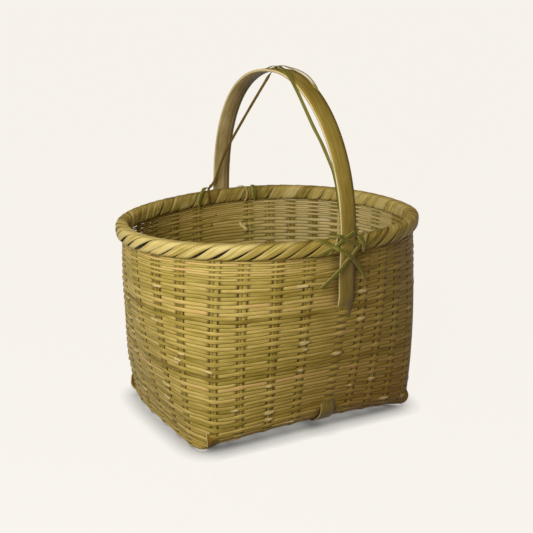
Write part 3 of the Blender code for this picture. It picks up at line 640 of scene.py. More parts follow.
def rim_place(share, out, up):
    """Points by the rim's middle line, out and up from it."""
    here = ring(RIM, share)
    along = unit(ring(RIM, share + 0.001) - ring(RIM, share - 0.001))
    normal = np.stack([along[..., 1], -along[..., 0]], -1)
    flat = here + normal * np.asarray(out)[..., None]
    height = RIM_MIDDLE + settle(share, RIM_TOP) + np.asarray(up)
    height = np.broadcast_to(height, flat.shape[:-1])
    return np.concatenate([flat, height[..., None]], -1)


HOOPS = {"outer_hoop": 2.8, "inner_hoop": -2.8}
HOOP_HALF_THICK, HOOP_HALF_HEIGHT = 1.6, 5.9
HOOP_STEPS, HOOP_CORNERS = 240, 12
HOOP_TONE = 0.4
# A full turn in radians, rounded as the hoops' corners were made with
HOOP_TURN = 6.2832


def build_hoops(material):
    share = np.arange(HOOP_STEPS) / HOOP_STEPS
    angle = np.arange(HOOP_CORNERS) / HOOP_CORNERS * HOOP_TURN
    up = HOOP_HALF_HEIGHT * signed_power(np.cos(angle), 0.6)
    for name, middle in HOOPS.items():
        out = middle + HOOP_HALF_THICK * signed_power(np.sin(angle), 0.7)
        bundle = Bundle()
        bundle.add(rim_place(share[:, None], out[None], up[None]), np.cos(angle), HOOP_TONE,
                   share * RIM[3], closed=True)
        bundle.build(f"{name}_ring", [material], name)


WRAP_TURNS, WRAP_STEPS = 56, 44
WRAP_ACROSS = np.array([-1, -0.94, -0.5, 0, 0.5, 0.94, 1, 0.6, -0.6])
WRAP_OUT = np.array([-0.2, 0.85, 1, 0.94, 1, 0.85, -0.2, -1, -1])
WRAP_HALF_THICK = 0.36
WRAP_LENGTH = 62
# How far a turn leads along the rim, in turns, and how much the turns differ
WRAP_LEAD, WRAP_BACK = 3.0, 1.1
WRAP_WIDTHS, WRAP_SLACK = (0.76, 1.24), 0.06
# How far a turn stands back from the next on the outer side of the rim
WRAP_GAPE, LEAST_GAPE, GAPE_PLACES = (0.06, 0.07), -0.02, (-0.08, 0.12)
GAPE_END = 0.3
# The later edge lies on the next turn
WRAP_LAP, WRAP_LAP_PLACES, WRAP_SINK = 0.5, (0.1, 0.3), 0.35
WRAP_TONES, WRAP_RUNS = (0.5, 0.18), 3000
# Painted shade along the edges of each turn and on the far side of the rim
WRAP_EDGE, WRAP_EDGE_SHADE = (0.9, 1.0), 0.5
FAR_RIM_SHARE, FAR_RIM_SPREAD, FAR_RIM_SHADE = 0.26, 0.12, 0.25
RIM_PALENESS = 0.5
# Shares of the way round the rim's section, with the strip's width and lead there
WIDTH_PLACES = (0, 0.08, 0.16, 0.26, 0.36, 0.5, 0.8, 0.92, 1)
WIDTH_SHARES = (0.7, 0.8, 0.88, 0.95, 1.06, 1.12, 1.12, 0.9, 0.7)
LEAD_PLACES = (0, 0.1, 0.4, 0.62, 0.88, 1)
LEAD_SHARES = (0, 0.06, 0.52, 0.78, 0.94, 1)


def build_wraps(material):
    """Flat strips wound side by side on a slant, each lapped under the next on top and inside."""
    widths = rng.uniform(*WRAP_WIDTHS, WRAP_TURNS)
    starts = np.concatenate(([0], np.cumsum(widths))) / widths.sum()
    angle = np.linspace(0, 1, WRAP_STEPS)
    width_at = np.interp(angle, WIDTH_PLACES, WIDTH_SHARES)
    advance = np.interp(angle, LEAD_PLACES, LEAD_SHARES) * WRAP_LEAD
    tilt = (WRAP_ACROSS + 1) / 2 * WRAP_LAP * blend(angle, *WRAP_LAP_PLACES)[:, None]
    out, up = rim_section(angle[:, None], WRAP_OUT * WRAP_HALF_THICK + tilt - WRAP_SINK)
    edge = blend(np.abs(WRAP_ACROSS), *WRAP_EDGE) * WRAP_EDGE_SHADE
    for quarter, turns in enumerate(np.array_split(np.arange(WRAP_TURNS), 4), 1):
        bundle = Bundle()
        for turn in turns:
            here, after = starts[turn], starts[turn + 1]
            slack = rng.normal(0, WRAP_SLACK) * np.sin(2 * math.pi * angle)
            gape = max(rng.normal(*WRAP_GAPE), LEAST_GAPE) * blend(GAPE_END - angle, *GAPE_PLACES)
            middle = (here + after) / 2 + (advance - WRAP_BACK + slack) / WRAP_TURNS
            half = width_at * (after - here) * (1 - gape) / 2
            share = middle[:, None] + WRAP_ACROSS * half[:, None]
            run = np.linspace(0, WRAP_LENGTH, WRAP_STEPS) + rng.uniform(0, WRAP_RUNS)
            # Painted shade on the far side of the rim
            aged = FAR_RIM_SHADE * close_to(share, FAR_RIM_SHARE, FAR_RIM_SPREAD)
            ends = RIM_PALENESS * abs(math.cos(2 * math.pi * turn / WRAP_TURNS)) ** 3
            bundle.add(rim_place(share, out, up), WRAP_ACROSS, rng.normal(*WRAP_TONES) + ends,
                       run, shade=1 - (1 - edge) * (1 - aged))
        name = f"rim_wrap_{quarter}"
        bundle.build(f"{name}_strip", [material], name)


# Handle

def arch(share):
    """Middle line of the handle's arch, from the near foot to the far one."""
    share = np.asarray(share, float)
    half_span = HANDLE_REACH + HANDLE_THICK / 2
    height = HANDLE_TOP - HANDLE_THICK / 2 - HANDLE_SPRING
    side = -np.cos(math.pi * share)
    power = 2 / np.where(side < 0, NEAR_SQUARENESS, FAR_SQUARENESS)
    y = signed_power(side, power) * half_span
    z = HANDLE_SPRING + height * np.abs(np.sin(math.pi * share)) ** power
    return np.stack([np.full(share.shape, HANDLE_X), y, z], -1)


def smooth(points, count):
    """A Catmull-Rom line through points, with the same number of steps in each span."""
    points = np.asarray(points, float)
    ends = np.vstack([2 * points[0] - points[1], points, 2 * points[-1] - points[-2]])
    line = []
    for k in range(len(points) - 1):
        a, b, c, d = ends[k:k + 4]
        for t in np.arange(count) / count:
            line.append(0.5 * (2 * b + (c - a) * t + (2 * a - 5 * b + 4 * c - d) * t ** 2
                               + (3 * b - a - 3 * c + d) * t ** 3))
    line.append(points[-1])
    return np.array(line)


# The handle's feet: heights where they stand off the wall, then places up the wall with how
# far inside its face the strip runs, then shares of the way to the middle under the base
FREE_HEIGHTS = (205, 198)
FOOT_PLACES = ((188, -5.6), (177, -3.6), (165, -2.5), (154, -1.9), (147, -0.7), (140, 0.9),
               (130, 1.3), (110, 1.3), (90, 1.3), (70, 1.3), (50, 1.3), (40, 1.2), (34, 0.4),
               (28, -0.9), (23, -1.3), (16, -1.3), (8, -1.3), (2, -1.3))
UNDER_SHARES, UNDER_DROP = (0.3, 0.6, 0.97), 1.1
FOOT_STEPS = 5


def foot_line(side):
    """The handle below the rim: down outside, in through the weave, out again and under."""
    reach = HANDLE_REACH + HANDLE_THICK / 2
    stops = [[HANDLE_X + float(handle_lean(z)), side * reach, z] for z in FREE_HEIGHTS]
    for path, inset in FOOT_PLACES:
        share = HANDLE_SHARES[side] - side * handle_lean(path) / wall_round(path)
        point, _, _, out = wall_frame(share, path)
        stops.append(point - out * inset)
    last = stops[-1]
    for part in UNDER_SHARES:
        x, y = last[0] + (HANDLE_X - last[0]) * part, last[1] * (1 - part)
        stops.append([x, y, mat_height(x, y) - UNDER_DROP])
    return smooth(stops, FOOT_STEPS)


HANDLE_ACROSS = np.array([-1, -0.97, -0.5, 0, 0.5, 0.97, 1, 0.97, 0.74, 0.58, 0.4, 0.26, -0.97])
HANDLE_OUT_SHAPE = np.array([0.0, 0.8, 1.03, 1.12, 1.03, 0.8, 0.0, -0.95, -0.8, -0.95, -0.85,
                             -0.95, -0.95])
HANDLE_KINDS = [1, 0, 0, 0, 0, 1, 1, 2, 2, 2, 2, 2, 1]
# Painted shade in the grooves along the handle's inner face
HANDLE_GROOVE_SHADE = np.array([0, 0, 0, 0, 0, 0, 0, 0, 0.7, 0.1, 0.5, 0, 0])


HANDLE_TONE = 0.5
ARCH_SHARES = np.linspace(0.004, 0.996, 90)
# Heights between which a tail gets thicker, the far foot wider and the painted shade less: the
# handle is painted darker low down and low on the near leg
THICKEN, WIDEN = (120, 150), (120, 200)
LOW_SHADE, LOW_SHADE_HEIGHTS = 0.2, (30, 60)
NEAR_SHADE, NEAR_SHADE_HEIGHTS = 0.22, (190, 280)


def build_handle(materials):
    near, far = foot_line(-1), foot_line(1)
    over = arch(ARCH_SHARES)
    centre = np.vstack([near[::-1], over, far])
    tangent = unit(np.gradient(centre, axis=0))
    out = unit(np.cross([1.0, 0, 0], tangent))
    side = unit(np.cross(tangent, out))
    side *= np.sign(side[:, :1])
    foot = np.full(len(near), HANDLE_FOOT_WIDTH)
    far_foot = np.interp(far[:, 2], WIDEN, (HANDLE_FOOT_WIDTH, FAR_FOOT_WIDTH))
    feet = np.where(ARCH_SHARES < 0.5, HANDLE_FOOT_WIDTH, FAR_FOOT_WIDTH)
    top = feet + (HANDLE_TOP_WIDTH - feet) * np.sin(math.pi * ARCH_SHARES)
    width = np.concatenate([foot, top, far_foot])
    thick = np.interp(centre[:, 2], THICKEN, (TAIL_THICK, HANDLE_THICK))
    # Painted shade on the handle: darker low down, on the lower near leg and in the grooves
    low = 1 - blend(centre[:, 2], *LOW_SHADE_HEIGHTS)
    near_leg = (1 - blend(centre[:, 2], *NEAR_SHADE_HEIGHTS)) * (centre[:, 1] < 0)
    shade = np.maximum(HANDLE_GROOVE_SHADE, (NEAR_SHADE * near_leg + LOW_SHADE * low)[:, None])
    bundle = Bundle()
    rings = sections(centre, side, out, width / 2, thick / 2, HANDLE_ACROSS, HANDLE_OUT_SHAPE)
    bundle.add(rings, HANDLE_ACROSS, HANDLE_TONE, run_of(centre), kinds=HANDLE_KINDS, shade=shade)
    bundle.build("handle_strip", materials, "handle")


# Braces that cross under the base and turn up its corners

BRACE_WIDTH, BRACE_TIP = 13.0, 0.55
BRACE_HALF_THICK = 0.4
BRACE_REACH, BRACE_LEG_STEPS, BRACE_STEPS = 44.0, 34, 44
BRACE_CORNERS = {"rising_brace": (0.615, 0.111), "falling_brace": (0.885, 0.393)}
BRACE_DROPS = {"rising_brace": 3.0, "falling_brace": 3.9}
BRACE_EDGE_DROP = 0.6
BRACE_TUCK = 1.9
# Places up the wall between which a brace comes out of the weave and turns to its own way
BRACE_OUT, BRACE_TURN = (20, 29), (6, 30)
BRACE_TONE = 0.5


def brace_leg(share):
    """Down a corner: inside the weave first, then over the lowest rows and round the edge."""
    path = np.linspace(BRACE_REACH, 0, BRACE_LEG_STEPS)
    inset = BRACE_TUCK - (BRACE_EDGE_DROP + BRACE_TUCK) * (1 - blend(path, *BRACE_OUT))
    point, along, _, out = wall_frame(share, path)
    side = along + (along[-6] - along) * (1 - blend(path, *BRACE_TURN))[:, None]
    return point - out * inset[:, None], unit(side), out


def build_braces(materials):
    for name, (first, last) in BRACE_CORNERS.items():
        point, side, facing = brace_leg(last)
        centre, sides, out, middle = over_base(brace_leg(first), (point, -side, facing),
                                               BRACE_STEPS)
        reach = np.linspace(0, 1, BRACE_STEPS)[1:-1]
        inner = blend(np.minimum(reach, 1 - reach), 0.2, 0.4)
        drop = BRACE_EDGE_DROP + (BRACE_DROPS[name] - BRACE_EDGE_DROP) * inner
        middle[:, 2] = mat_height(middle[:, 0], middle[:, 1]) - drop
        run = run_of(centre)
        tip = np.minimum(blend(run, -2, 8), blend(run[-1] - run, -2, 8))
        half = BRACE_WIDTH / 2 * (BRACE_TIP + (1 - BRACE_TIP) * tip)
        bundle = Bundle()
        rings = sections(centre, sides, out, half, BRACE_HALF_THICK)
        bundle.add(rings, FLAT_ACROSS, BRACE_TONE, run, kinds=RIBBON_KINDS)
        bundle.build(f"{name}_strip", materials, name)


# Ties: each is a route of places, with the way its face looks, followed by a thin ribbon

TIE_WIDTH = 3.9
TIE_THICK = 0.7
RIBBON_KINDS = [1, 0, 0, 1, 1, 0, 0, 1]
NEAR, UP, LEVEL = (0, -1, 0.15), (0, -0.35, 1), (0, -0.8, 0.6)
NEAR_RISING = ((22.4, -128.5, 219.6, LEVEL), (11.9, -131.9, 217.0, NEAR),
               (5.2, -131.9, 213.7, NEAR), (-1.3, -131.9, 209.6, NEAR),
               (-5.9, -130.0, 205.2, NEAR), (-11.5, -128.4, 202.2, NEAR),
               (-18.7, -127.8, 199.6, NEAR), (-26.8, -126.5, 197.7, NEAR))
NEAR_FALLING = ((-8.0, -117.0, 214.5, UP), (-5.5, -127.0, 216.0, LEVEL),
                (-3.7, -132.6, 216.6, NEAR), (1.8, -132.7, 213.8, NEAR),
                (8.8, -132.7, 210.2, NEAR), (17.4, -131.0, 206.5, NEAR),
                (25.2, -128.5, 202.0, NEAR), (30.7, -126.5, 196.1, NEAR))
RIGHT_END = ((-25.8, -123.5, 214.2, LEVEL), (-19.2, -127.8, 212.9, NEAR),
             (-8.6, -129.4, 207.2, NEAR), (-3.8, -132.7, 204.1, NEAR),
             (0.9, -133.3, 201.4, NEAR), (7.9, -133.3, 196.7, NEAR),
             (16.5, -131.0, 189.4, NEAR), (24.1, -128.5, 182.0, NEAR),
             (29.1, -127.5, 175.1, NEAR), (33.0, -126.5, 166.9, NEAR))
LEFT_END = ((25.9, -128.3, 209.8, LEVEL), (24.4, -129.0, 206.8, NEAR),
            (20.5, -130.5, 202.7, NEAR), (13.3, -132.2, 196.2, NEAR),
            (6.5, -132.4, 190.7, NEAR), (1.6, -131.0, 183.6, NEAR),
            (-4.0, -128.0, 176.2, NEAR), (-9.9, -126.0, 170.0, NEAR),
            (-15.5, -124.6, 165.4, NEAR), (-18.4, -124.0, 163.8, NEAR))
NEAR_LOOP = ((16.5, -126.0, 217.5, UP), (20.5, -129.6, 213.4, LEVEL),
             (24.6, -129.8, 209.4, NEAR), (27.4, -129.2, 204.6, NEAR),
             (28.9, -128.4, 200.2, NEAR), (30.9, -125.5, 194.6, NEAR))
NEAR_RING = ((37.0, -113.0, 211.0, (0, 1, 0.6)), (36.2, -117.5, 213.2, (0, 0.1, 1)),
             (33.6, -124.4, 213.2, (0, -0.5, 1)), (30.4, -128.2, 210.0, NEAR),
             (28.9, -128.6, 205.0, NEAR), (28.2, -128.2, 199.0, NEAR),
             (28.2, -124.5, 195.0, (0, -0.4, -1)))
FAR_LEFT = ((-11.5, 121.5, 214.6, (0, 0.2, 1)), (-15.5, 119.0, 215.4, (0, 0, 1)),
            (-20.0, 116.4, 214.4, (0, -0.6, 1)), (-24.9, 112.6, 209.6, NEAR),
            (-27.5, 111.8, 204.0, NEAR), (-28.1, 111.8, 199.6, NEAR),
            (-26.8, 112.4, 193.0, NEAR))
FAR_CORNER = ((17.8, 131.5, 205.0, (0, 1, 0)), (12.0, 131.9, 209.6, (0, 1, 0)),
              (4.0, 131.9, 214.2, (0, 1, 0)), (-3.5, 129.6, 216.6, (0, 1, 0.6)),
              (-9.5, 123.5, 215.6, (0, 0.2, 1)))
FAR_RIGHT = ((27.4, 124.0, 212.4, (0, 0.4, 1)), (30.4, 118.5, 213.6, (0, -0.1, 1)),
             (32.2, 113.4, 211.8, (0, -0.7, 0.6)), (33.2, 111.2, 207.2, NEAR),
             (31.9, 110.7, 200.6, NEAR), (28.0, 112.0, 195.4, NEAR))
FAR_RING = ((43.6, 122.0, 212.6, (0, 0.4, 1)), (42.4, 115.8, 213.9, (0, -0.4, 1)),
            (41.6, 110.4, 211.6, NEAR), (41.4, 108.6, 204.6, NEAR),
            (42.3, 109.4, 197.0, NEAR))
LONG_FOOT = ((-12.6, -126.0, 196.9, NEAR), (-10.1, -128.4, 199.6, NEAR),
             (-6.0, -129.0, 204.4, NEAR), (-3.0, -129.0, 213.1, (-1, -0.8, 0)),
             (-1.2, -127.0, 218.8, (-1, -0.5, 0)), (0.2, -124.6, 227.9, (-1, -0.3, 0)),
             (2.4, -121.0, 240.0, (-1, -0.3, 0)))
LONG_TIE = ((2.6, -122.0, 236.0, (-1, -0.3, 0)), (2.4, -119.6, 250.0, (-1, -0.2, -0.1)),
            (1.2, -117.4, 262.0, (-1, -0.2, -0.1)), (-0.8, -114.6, 274.2, (-1, -0.3, -0.2)),
            (-1.8, -109.5, 283.1, (-0.8, -0.6, 0)), (-2.0, -95.5, 298.3, (-0.6, -0.8, 0.2)),
            (-2.3, -80.5, 311.9, (-0.6, -0.8, 0.3)), (-2.3, -64.8, 327.4, (-0.6, -0.8, 0.4)),
            (-2.2, -48.6, 343.1, (-0.6, -0.7, 0.5)), (-2.2, -35.8, 353.6, (-0.7, -0.5, 0.5)),
            (-1.4, -24.0, 359.6, (-0.7, -0.3, 0.8)), (2.5, -12.0, 360.6, (0, 0, 1)),
            (9.0, 4.0, 360.9, (0, 0, 1)), (15.5, 20.0, 358.8, (0, 0.2, 1)),
            (20.6, 31.0, 354.0, (1, 0.2, 0.4)))
INNER_TIE = ((5.6, 13.0, 354.2, (-0.9, -0.5, -0.3)), (4.8, 17.0, 350.4, (-0.9, -0.5, -0.3)),
             (4.0, 38.7, 328.6, (-0.9, -0.5, -0.3)), (4.0, 62.0, 305.9, (-0.9, -0.5, -0.3)),
             (2.5, 94.8, 270.4, (-0.8, -0.7, -0.3)), (1.5, 113.0, 246.9, (-0.5, -1, -0.3)),
             (-1.0, 122.8, 225.7, (-0.4, -1, 0)), (-6.5, 123.4, 216.4, (-0.4, -0.8, 0.6)),
             (-12.4, 118.8, 214.3, (0, -0.4, 1)), (-15.3, 114.0, 208.3, NEAR),
             (-15.2, 113.0, 202.0, NEAR), (-14.2, 114.0, 196.0, NEAR))
TOP_TIE = ((13.0, 52.0, 346.6, (0, 0.4, 1)), (14.0, 34.0, 354.4, (0, 0.2, 1)),
           (15.5, 12.0, 360.4, (0, 0, 1)), (16.6, -6.0, 359.9, (0, 0, 1)),
           (17.6, -20.0, 358.6, (0, -0.3, 1)), (18.0, -36.0, 354.9, (0, -0.4, 1)),
           (18.0, -50.0, 347.6, (0, -0.6, 1)), (17.6, -58.0, 341.0, (0, -0.7, 1)))
TOP_LEFT = ((14.0, 46.0, 352.9, (0, 0.5, 1)), (12.5, 34.0, 356.0, (0, 0.3, 1)),
            (9.0, 20.0, 359.2, (0, 0.2, 1)), (5.0, 6.0, 360.9, (0, 0, 1)),
            (1.5, -8.0, 361.0, (0, -0.2, 1)), (-1.5, -20.0, 359.4, (-0.5, -0.4, 1)))
TOP_TURN = ((15.0, 4.0, 360.6, (0, 0, 1)), (15.4, -20.0, 357.6, (0, -0.3, 1)),
            (16.4, -36.0, 353.2, (0, -0.4, 1)), (16.6, -50.0, 346.2, (0, -0.6, 1)),
            (17.0, -60.0, 338.8, (0, -0.7, 1)))
TIES = (("near_lashing_rising", ((NEAR_RISING, 1.0, 0),)),
        ("near_lashing_falling", ((NEAR_FALLING, 1.0, 0),)),
        ("near_rim_tie", ((NEAR_RING, 0.9, 2), (NEAR_LOOP, 1.05, 0))),
        ("near_loose_end_left", ((LEFT_END, 1.0, 0),)),
        ("near_loose_end_right", ((RIGHT_END, 0.95, 0),)),
        ("far_lashing_rising", ((FAR_LEFT, 1.1, 0),)),
        ("far_lashing_falling", ((FAR_CORNER, 0.8, 0), (FAR_RIGHT, 0.5, 2))),
        ("far_rim_tie", ((FAR_RING, 1.5, 0),)),
        ("handle_spiral_tie", ((LONG_TIE, 0.85, 0), (LONG_FOOT, 0.45, 2), (INNER_TIE, 0.75, 3))),
        ("handle_top_tie", ((TOP_TIE, 0.42, 2), (TOP_LEFT, 0.5, 2), (TOP_TURN, 0.35, 2))))
RIBBON_STEPS = 9
RIBBON_TIP = (-3, 9)
RIBBON_WOBBLE = (0.06, 40.0)
RIBBON_TONES, RIBBON_RUNS = (0.3, 0.8), 900


def build_ties(materials):
    """Kind 0 is a green ribbon with paler edges, 2 a pale one and 3 a dark one."""
    for name, routes in TIES:
        bundle = Bundle()
        for route, width, kind in routes:
            centre = smooth([stop[:3] for stop in route], RIBBON_STEPS)
            face = unit(smooth([unit(np.array(stop[3], float)) for stop in route], RIBBON_STEPS))
            tangent = unit(np.gradient(centre, axis=0))
            side = unit(np.cross(tangent, face))
            out = np.cross(side, tangent)
            run = run_of(centre)
            ends = np.minimum(blend(run, *RIBBON_TIP), blend(run[-1] - run, *RIBBON_TIP))
            half = TIE_WIDTH / 2 * width * ends * (1 + wobble(run, *RIBBON_WOBBLE))
            rings = sections(centre, side, out, half, TIE_THICK / 2)
            kinds = [kind] * 8 if kind else RIBBON_KINDS
            bundle.add(rings, FLAT_ACROSS, rng.uniform(*RIBBON_TONES),
                       run + rng.uniform(0, RIBBON_RUNS), kinds=kinds)
        bundle.build(f"{name}_ribbon", materials, name)


# Camera, light and floor

CAMERA_PLACE = (-0.536209, -0.912115, 0.461474)
CAMERA_TURN, CAMERA_TILT, CAMERA_ROLL = -30.25, 16.32, 1.0
CAMERA_LENS = 70.17
SENSOR = 36.0


def add_camera():
    turn, tilt, roll = (math.radians(v) for v in (CAMERA_TURN, CAMERA_TILT, CAMERA_ROLL))
    back = Vector((math.sin(turn) * math.cos(tilt), -math.cos(turn) * math.cos(tilt),
                   math.sin(tilt)))
    level = Vector((math.cos(turn), math.sin(turn), 0))
    upright = back.cross(level)
    right = math.cos(roll) * level + math.sin(roll) * upright
    up = back.cross(right)
    data = bpy.data.cameras.new("camera")
    data.lens = CAMERA_LENS
    data.sensor_width = SENSOR
    data.clip_end = 200
    camera = bpy.data.objects.new("camera", data)
    place = Matrix((right, up, back)).transposed().to_4x4()
    camera.matrix_world = Matrix.Translation(CAMERA_PLACE) @ place
    bpy.context.scene.collection.objects.link(camera)
    bpy.context.scene.camera = camera


KEY_POWER, KEY_SIZE = 7.6, 0.5
KEY_PLACE, KEY_AIM = (-0.67, -0.51, 0.58), (0, 0, 0.12)
KEY_COLOUR = (1, 0.99, 0.97)
WORLD_LIGHT = 0.26
WORLD_COLOUR = (1, 0.77, 0.42)
# The floor is lit and shaded as any surface, and its shadow is softened for the camera by a
# plain glow of the same colour, darkened close to the object by occlusion and under its base by
# a painted shadow
FLOOR_HALF = 60
FLOOR_COLOUR = (0.94, 0.95, 0.97)
FLOOR_GLOW = (249, 245, 238)
FLOOR_BOUNCE = (0.17, 0.12, 0.05)
GLOW_SHARE = 0.97
CONTACT_REACH = 0.021
CONTACT_DEPTH = 0.85
UNDER_PAINTED_SHADOW = 0.6
UNDER_EDGE, UNDER_FULL = 0.98, 0.84


def add_lamp():
    """A square soft lamp that faces the middle of the basket."""
    data = bpy.data.lights.new("key", "AREA")
    data.energy = KEY_POWER
    data.size = KEY_SIZE
    data.color = KEY_COLOUR
    light = bpy.data.objects.new("key", data)
    light.location = KEY_PLACE
    towards = Vector(KEY_AIM) - Vector(KEY_PLACE)
    light.rotation_euler = towards.to_track_quat("-Z", "Y").to_euler()
    bpy.context.scene.collection.objects.link(light)


def base_distance(nodes):
    """How far a place on the floor lies from the middle of the base: 1 at the base's edge."""
    place = nodes.node("ShaderNodeSeparateXYZ")
    nodes.link(nodes.node("ShaderNodeNewGeometry").outputs["Position"], place.inputs[0])
    half_x, half_y, squareness = BASE_SHAPE
    powers = []
    for output, half in zip(place.outputs, (half_x * METRE, half_y * METRE)):
        size = nodes.math("ABSOLUTE", nodes.math("DIVIDE", output, half))
        powers.append(nodes.math("POWER", size, squareness))
    return nodes.math("POWER", nodes.math("ADD", *powers), 1 / squareness)


def floor_material():
    nodes = Nodes(bpy.data.materials.new("floor"))
    seen = nodes.tree.nodes["Principled BSDF"]
    seen.inputs["Base Color"].default_value = (*FLOOR_COLOUR, 1)
    seen.inputs["Roughness"].default_value = 1
    seen.inputs["Specular IOR Level"].default_value = 0
    bounce = nodes.node("ShaderNodeBsdfDiffuse")
    bounce.inputs["Color"].default_value = (*FLOOR_BOUNCE, 1)
    contact = nodes.node("ShaderNodeAmbientOcclusion")
    contact.inputs["Distance"].default_value = CONTACT_REACH
    deep = nodes.math("POWER", contact.outputs["AO"], CONTACT_DEPTH)
    # Painted shadow under the base, dark within the base's outline and fading at its edge
    under = nodes.node("ShaderNodeMapRange", interpolation_type="SMOOTHSTEP")
    nodes.link(base_distance(nodes), under.inputs["Value"])
    under.inputs["From Min"].default_value = UNDER_FULL
    under.inputs["From Max"].default_value = UNDER_EDGE
    under.inputs["To Min"].default_value = 1 - UNDER_PAINTED_SHADOW
    under.inputs["To Max"].default_value = 1
    glow = nodes.node("ShaderNodeEmission")
    glow.inputs["Color"].default_value = (*linear(*FLOOR_GLOW), 1)
    nodes.link(nodes.math("MULTIPLY", deep, under.outputs[0]), glow.inputs["Strength"])
    rays = nodes.node("ShaderNodeLightPath").outputs
    shown = nodes.sum((rays["Is Camera Ray"], 1), (rays["Is Glossy Ray"], 1),
                      (rays["Is Transmission Ray"], 1))
    final = nodes.mix_shader(shown, bounce, nodes.mix_shader(GLOW_SHARE, seen, glow))
    nodes.link(final.outputs[0], nodes.tree.nodes["Material Output"].inputs["Surface"])
    return nodes.holder


def add_world():
    """A dim plain light, shown in the floor's colour."""
    nodes = Nodes(bpy.data.worlds.new("studio"))
    light = nodes.tree.nodes["Background"]
    light.inputs["Color"].default_value = (*WORLD_COLOUR, 1)
    light.inputs["Strength"].default_value = WORLD_LIGHT
    seen = nodes.node("ShaderNodeBackground")
    seen.inputs["Color"].default_value = (*linear(*FLOOR_GLOW), 1)
    rays = nodes.node("ShaderNodeLightPath")
    final = nodes.mix_shader(rays.outputs["Is Camera Ray"], light, seen)
    nodes.link(final.outputs[0], nodes.tree.nodes["World Output"].inputs["Surface"])
    bpy.context.scene.world = nodes.holder


def add_floor():
    mesh = bpy.data.meshes.new("floor")
    corners = [(x * FLOOR_HALF, y * FLOOR_HALF, 0) for x, y in ((-1, -1), (1, -1), (1, 1), (-1, 1))]
    mesh.from_pydata(corners, [], [(0, 1, 2, 3)])
    mesh.materials.append(floor_material())
    floor = bpy.data.objects.new("floor", mesh)
    bpy.context.scene.collection.objects.link(floor)


# Materials

def linear(red, green, blue):
    """A colour given as it looks on screen, 0 to 255."""
    return tuple(((c / 255 + 0.055) / 1.055) ** 2.4 if c > 10 else c / 3294.6
                 for c in (red, green, blue))


class Nodes:
    """Shorthand for adding nodes to a material or world."""

    def __init__(self, holder):
        self.holder = holder
        holder.use_nodes = True
        self.tree = holder.node_tree

    def node(self, kind, **settings):
        made = self.tree.nodes.new(kind)
        for key, value in settings.items():
            setattr(made, key, value)
        return made

    def link(self, source, target):
        self.tree.links.new(source, target)

    def attribute(self, name):
        return self.node("ShaderNodeAttribute", attribute_name=name).outputs["Fac"]

    def math(self, operation, *values):
        """A sum on sockets and numbers."""
        made = self.node("ShaderNodeMath", operation=operation)
        for target, value in zip(made.inputs, values):
            if isinstance(value, (int, float)):
                target.default_value = value
            else:
                self.link(value, target)
        return made.outputs[0]

    def sum(self, *terms):
        """Adds sockets, each given with its factor."""
        total = 0
        for socket, factor in terms:
            total = self.math("MULTIPLY_ADD", socket, factor, total)
        return total

    def mix_shader(self, factor, one, two):
        made = self.node("ShaderNodeMixShader")
        if isinstance(factor, float):
            made.inputs[0].default_value = factor
        else:
            self.link(factor, made.inputs[0])
        self.link(one.outputs[0], made.inputs[1])
        self.link(two.outputs[0], made.inputs[2])
        return made

    def noise(self, run_scale, across_scale, detail=2.0):
        """Noise stretched along the strip, different on each strip."""
        place = self.node("ShaderNodeCombineXYZ")
        for target, name, scale in zip(place.inputs, ("run", "across", "tone"),
                                       (run_scale, across_scale, TONE_SCALE)):
            self.link(self.sum((self.attribute(name), scale)), target)
        made = self.node("ShaderNodeTexNoise")
        made.inputs["Scale"].default_value = 1
        made.inputs["Detail"].default_value = detail
        self.link(place.outputs[0], made.inputs["Vector"])
        return made.outputs["Fac"]

    def ramp(self, factor, stops):
        made = self.node("ShaderNodeValToRGB")
        elements = made.color_ramp.elements
        while len(elements) < len(stops):
            elements.new(0.5)
        for element, (place, colour) in zip(elements, stops):
            element.position = place
            element.color = (*linear(*colour), 1)
        self.link(factor, made.inputs[0])
        return made.outputs[0]

    def mix(self, factor, one, two):
        """Mixes a colour socket with a plain colour."""
        made = self.node("ShaderNodeMix", data_type="RGBA")
        self.link(factor, made.inputs[0])
        self.link(one, made.inputs[6])
        made.inputs[7].default_value = (*linear(*two), 1)
        return made.outputs[2]


# How far apart strips of different tone lie in the noise
TONE_SCALE = 53.0
BUMP_DEPTH = 0.0006
SHEEN = 0.2


def bamboo(name, stops, tone=0.7, patches=0.9, fibres=0.5, fibre_count=2.2, rough=0.5,
           bump=0.25, cream=(226, 208, 158)):
    """Split bamboo: long patches of colour along each strip, fine fibres and pale cut ends."""
    nodes = Nodes(bpy.data.materials.new(name))
    shader = nodes.tree.nodes["Principled BSDF"]
    long_patches = nodes.noise(0.02, 0.3, 3.0)
    fibre = nodes.noise(0.05, fibre_count * 2.2, 4.0)
    factor = nodes.sum((nodes.attribute("tone"), tone), (long_patches, patches), (fibre, fibres))
    # The middle of all three stands at the middle of the ramp
    shifted = nodes.math("SUBTRACT", factor, (tone + patches + fibres) / 2 - 0.5)
    colour = nodes.ramp(shifted, stops)
    # Mixes in the broad painted shade where the light falls away, the pale cut ends with the
    # painted light inside one end, and the painted shade in recesses and along edges
    for key, other in (("aged", BROAD_SHADE_COLOUR), ("peel", cream), ("shade", PAINTED_SHADE_COLOUR)):
        colour = nodes.mix(nodes.attribute(key), colour, other)
    nodes.link(colour, shader.inputs["Base Color"])
    shader.inputs["Roughness"].default_value = rough
    shader.inputs["Specular IOR Level"].default_value = SHEEN
    made = nodes.node("ShaderNodeBump")
    made.inputs["Strength"].default_value = bump
    made.inputs["Distance"].default_value = BUMP_DEPTH
    nodes.link(fibre, made.inputs["Height"])
    nodes.link(made.outputs[0], shader.inputs["Normal"])
    return nodes.holder


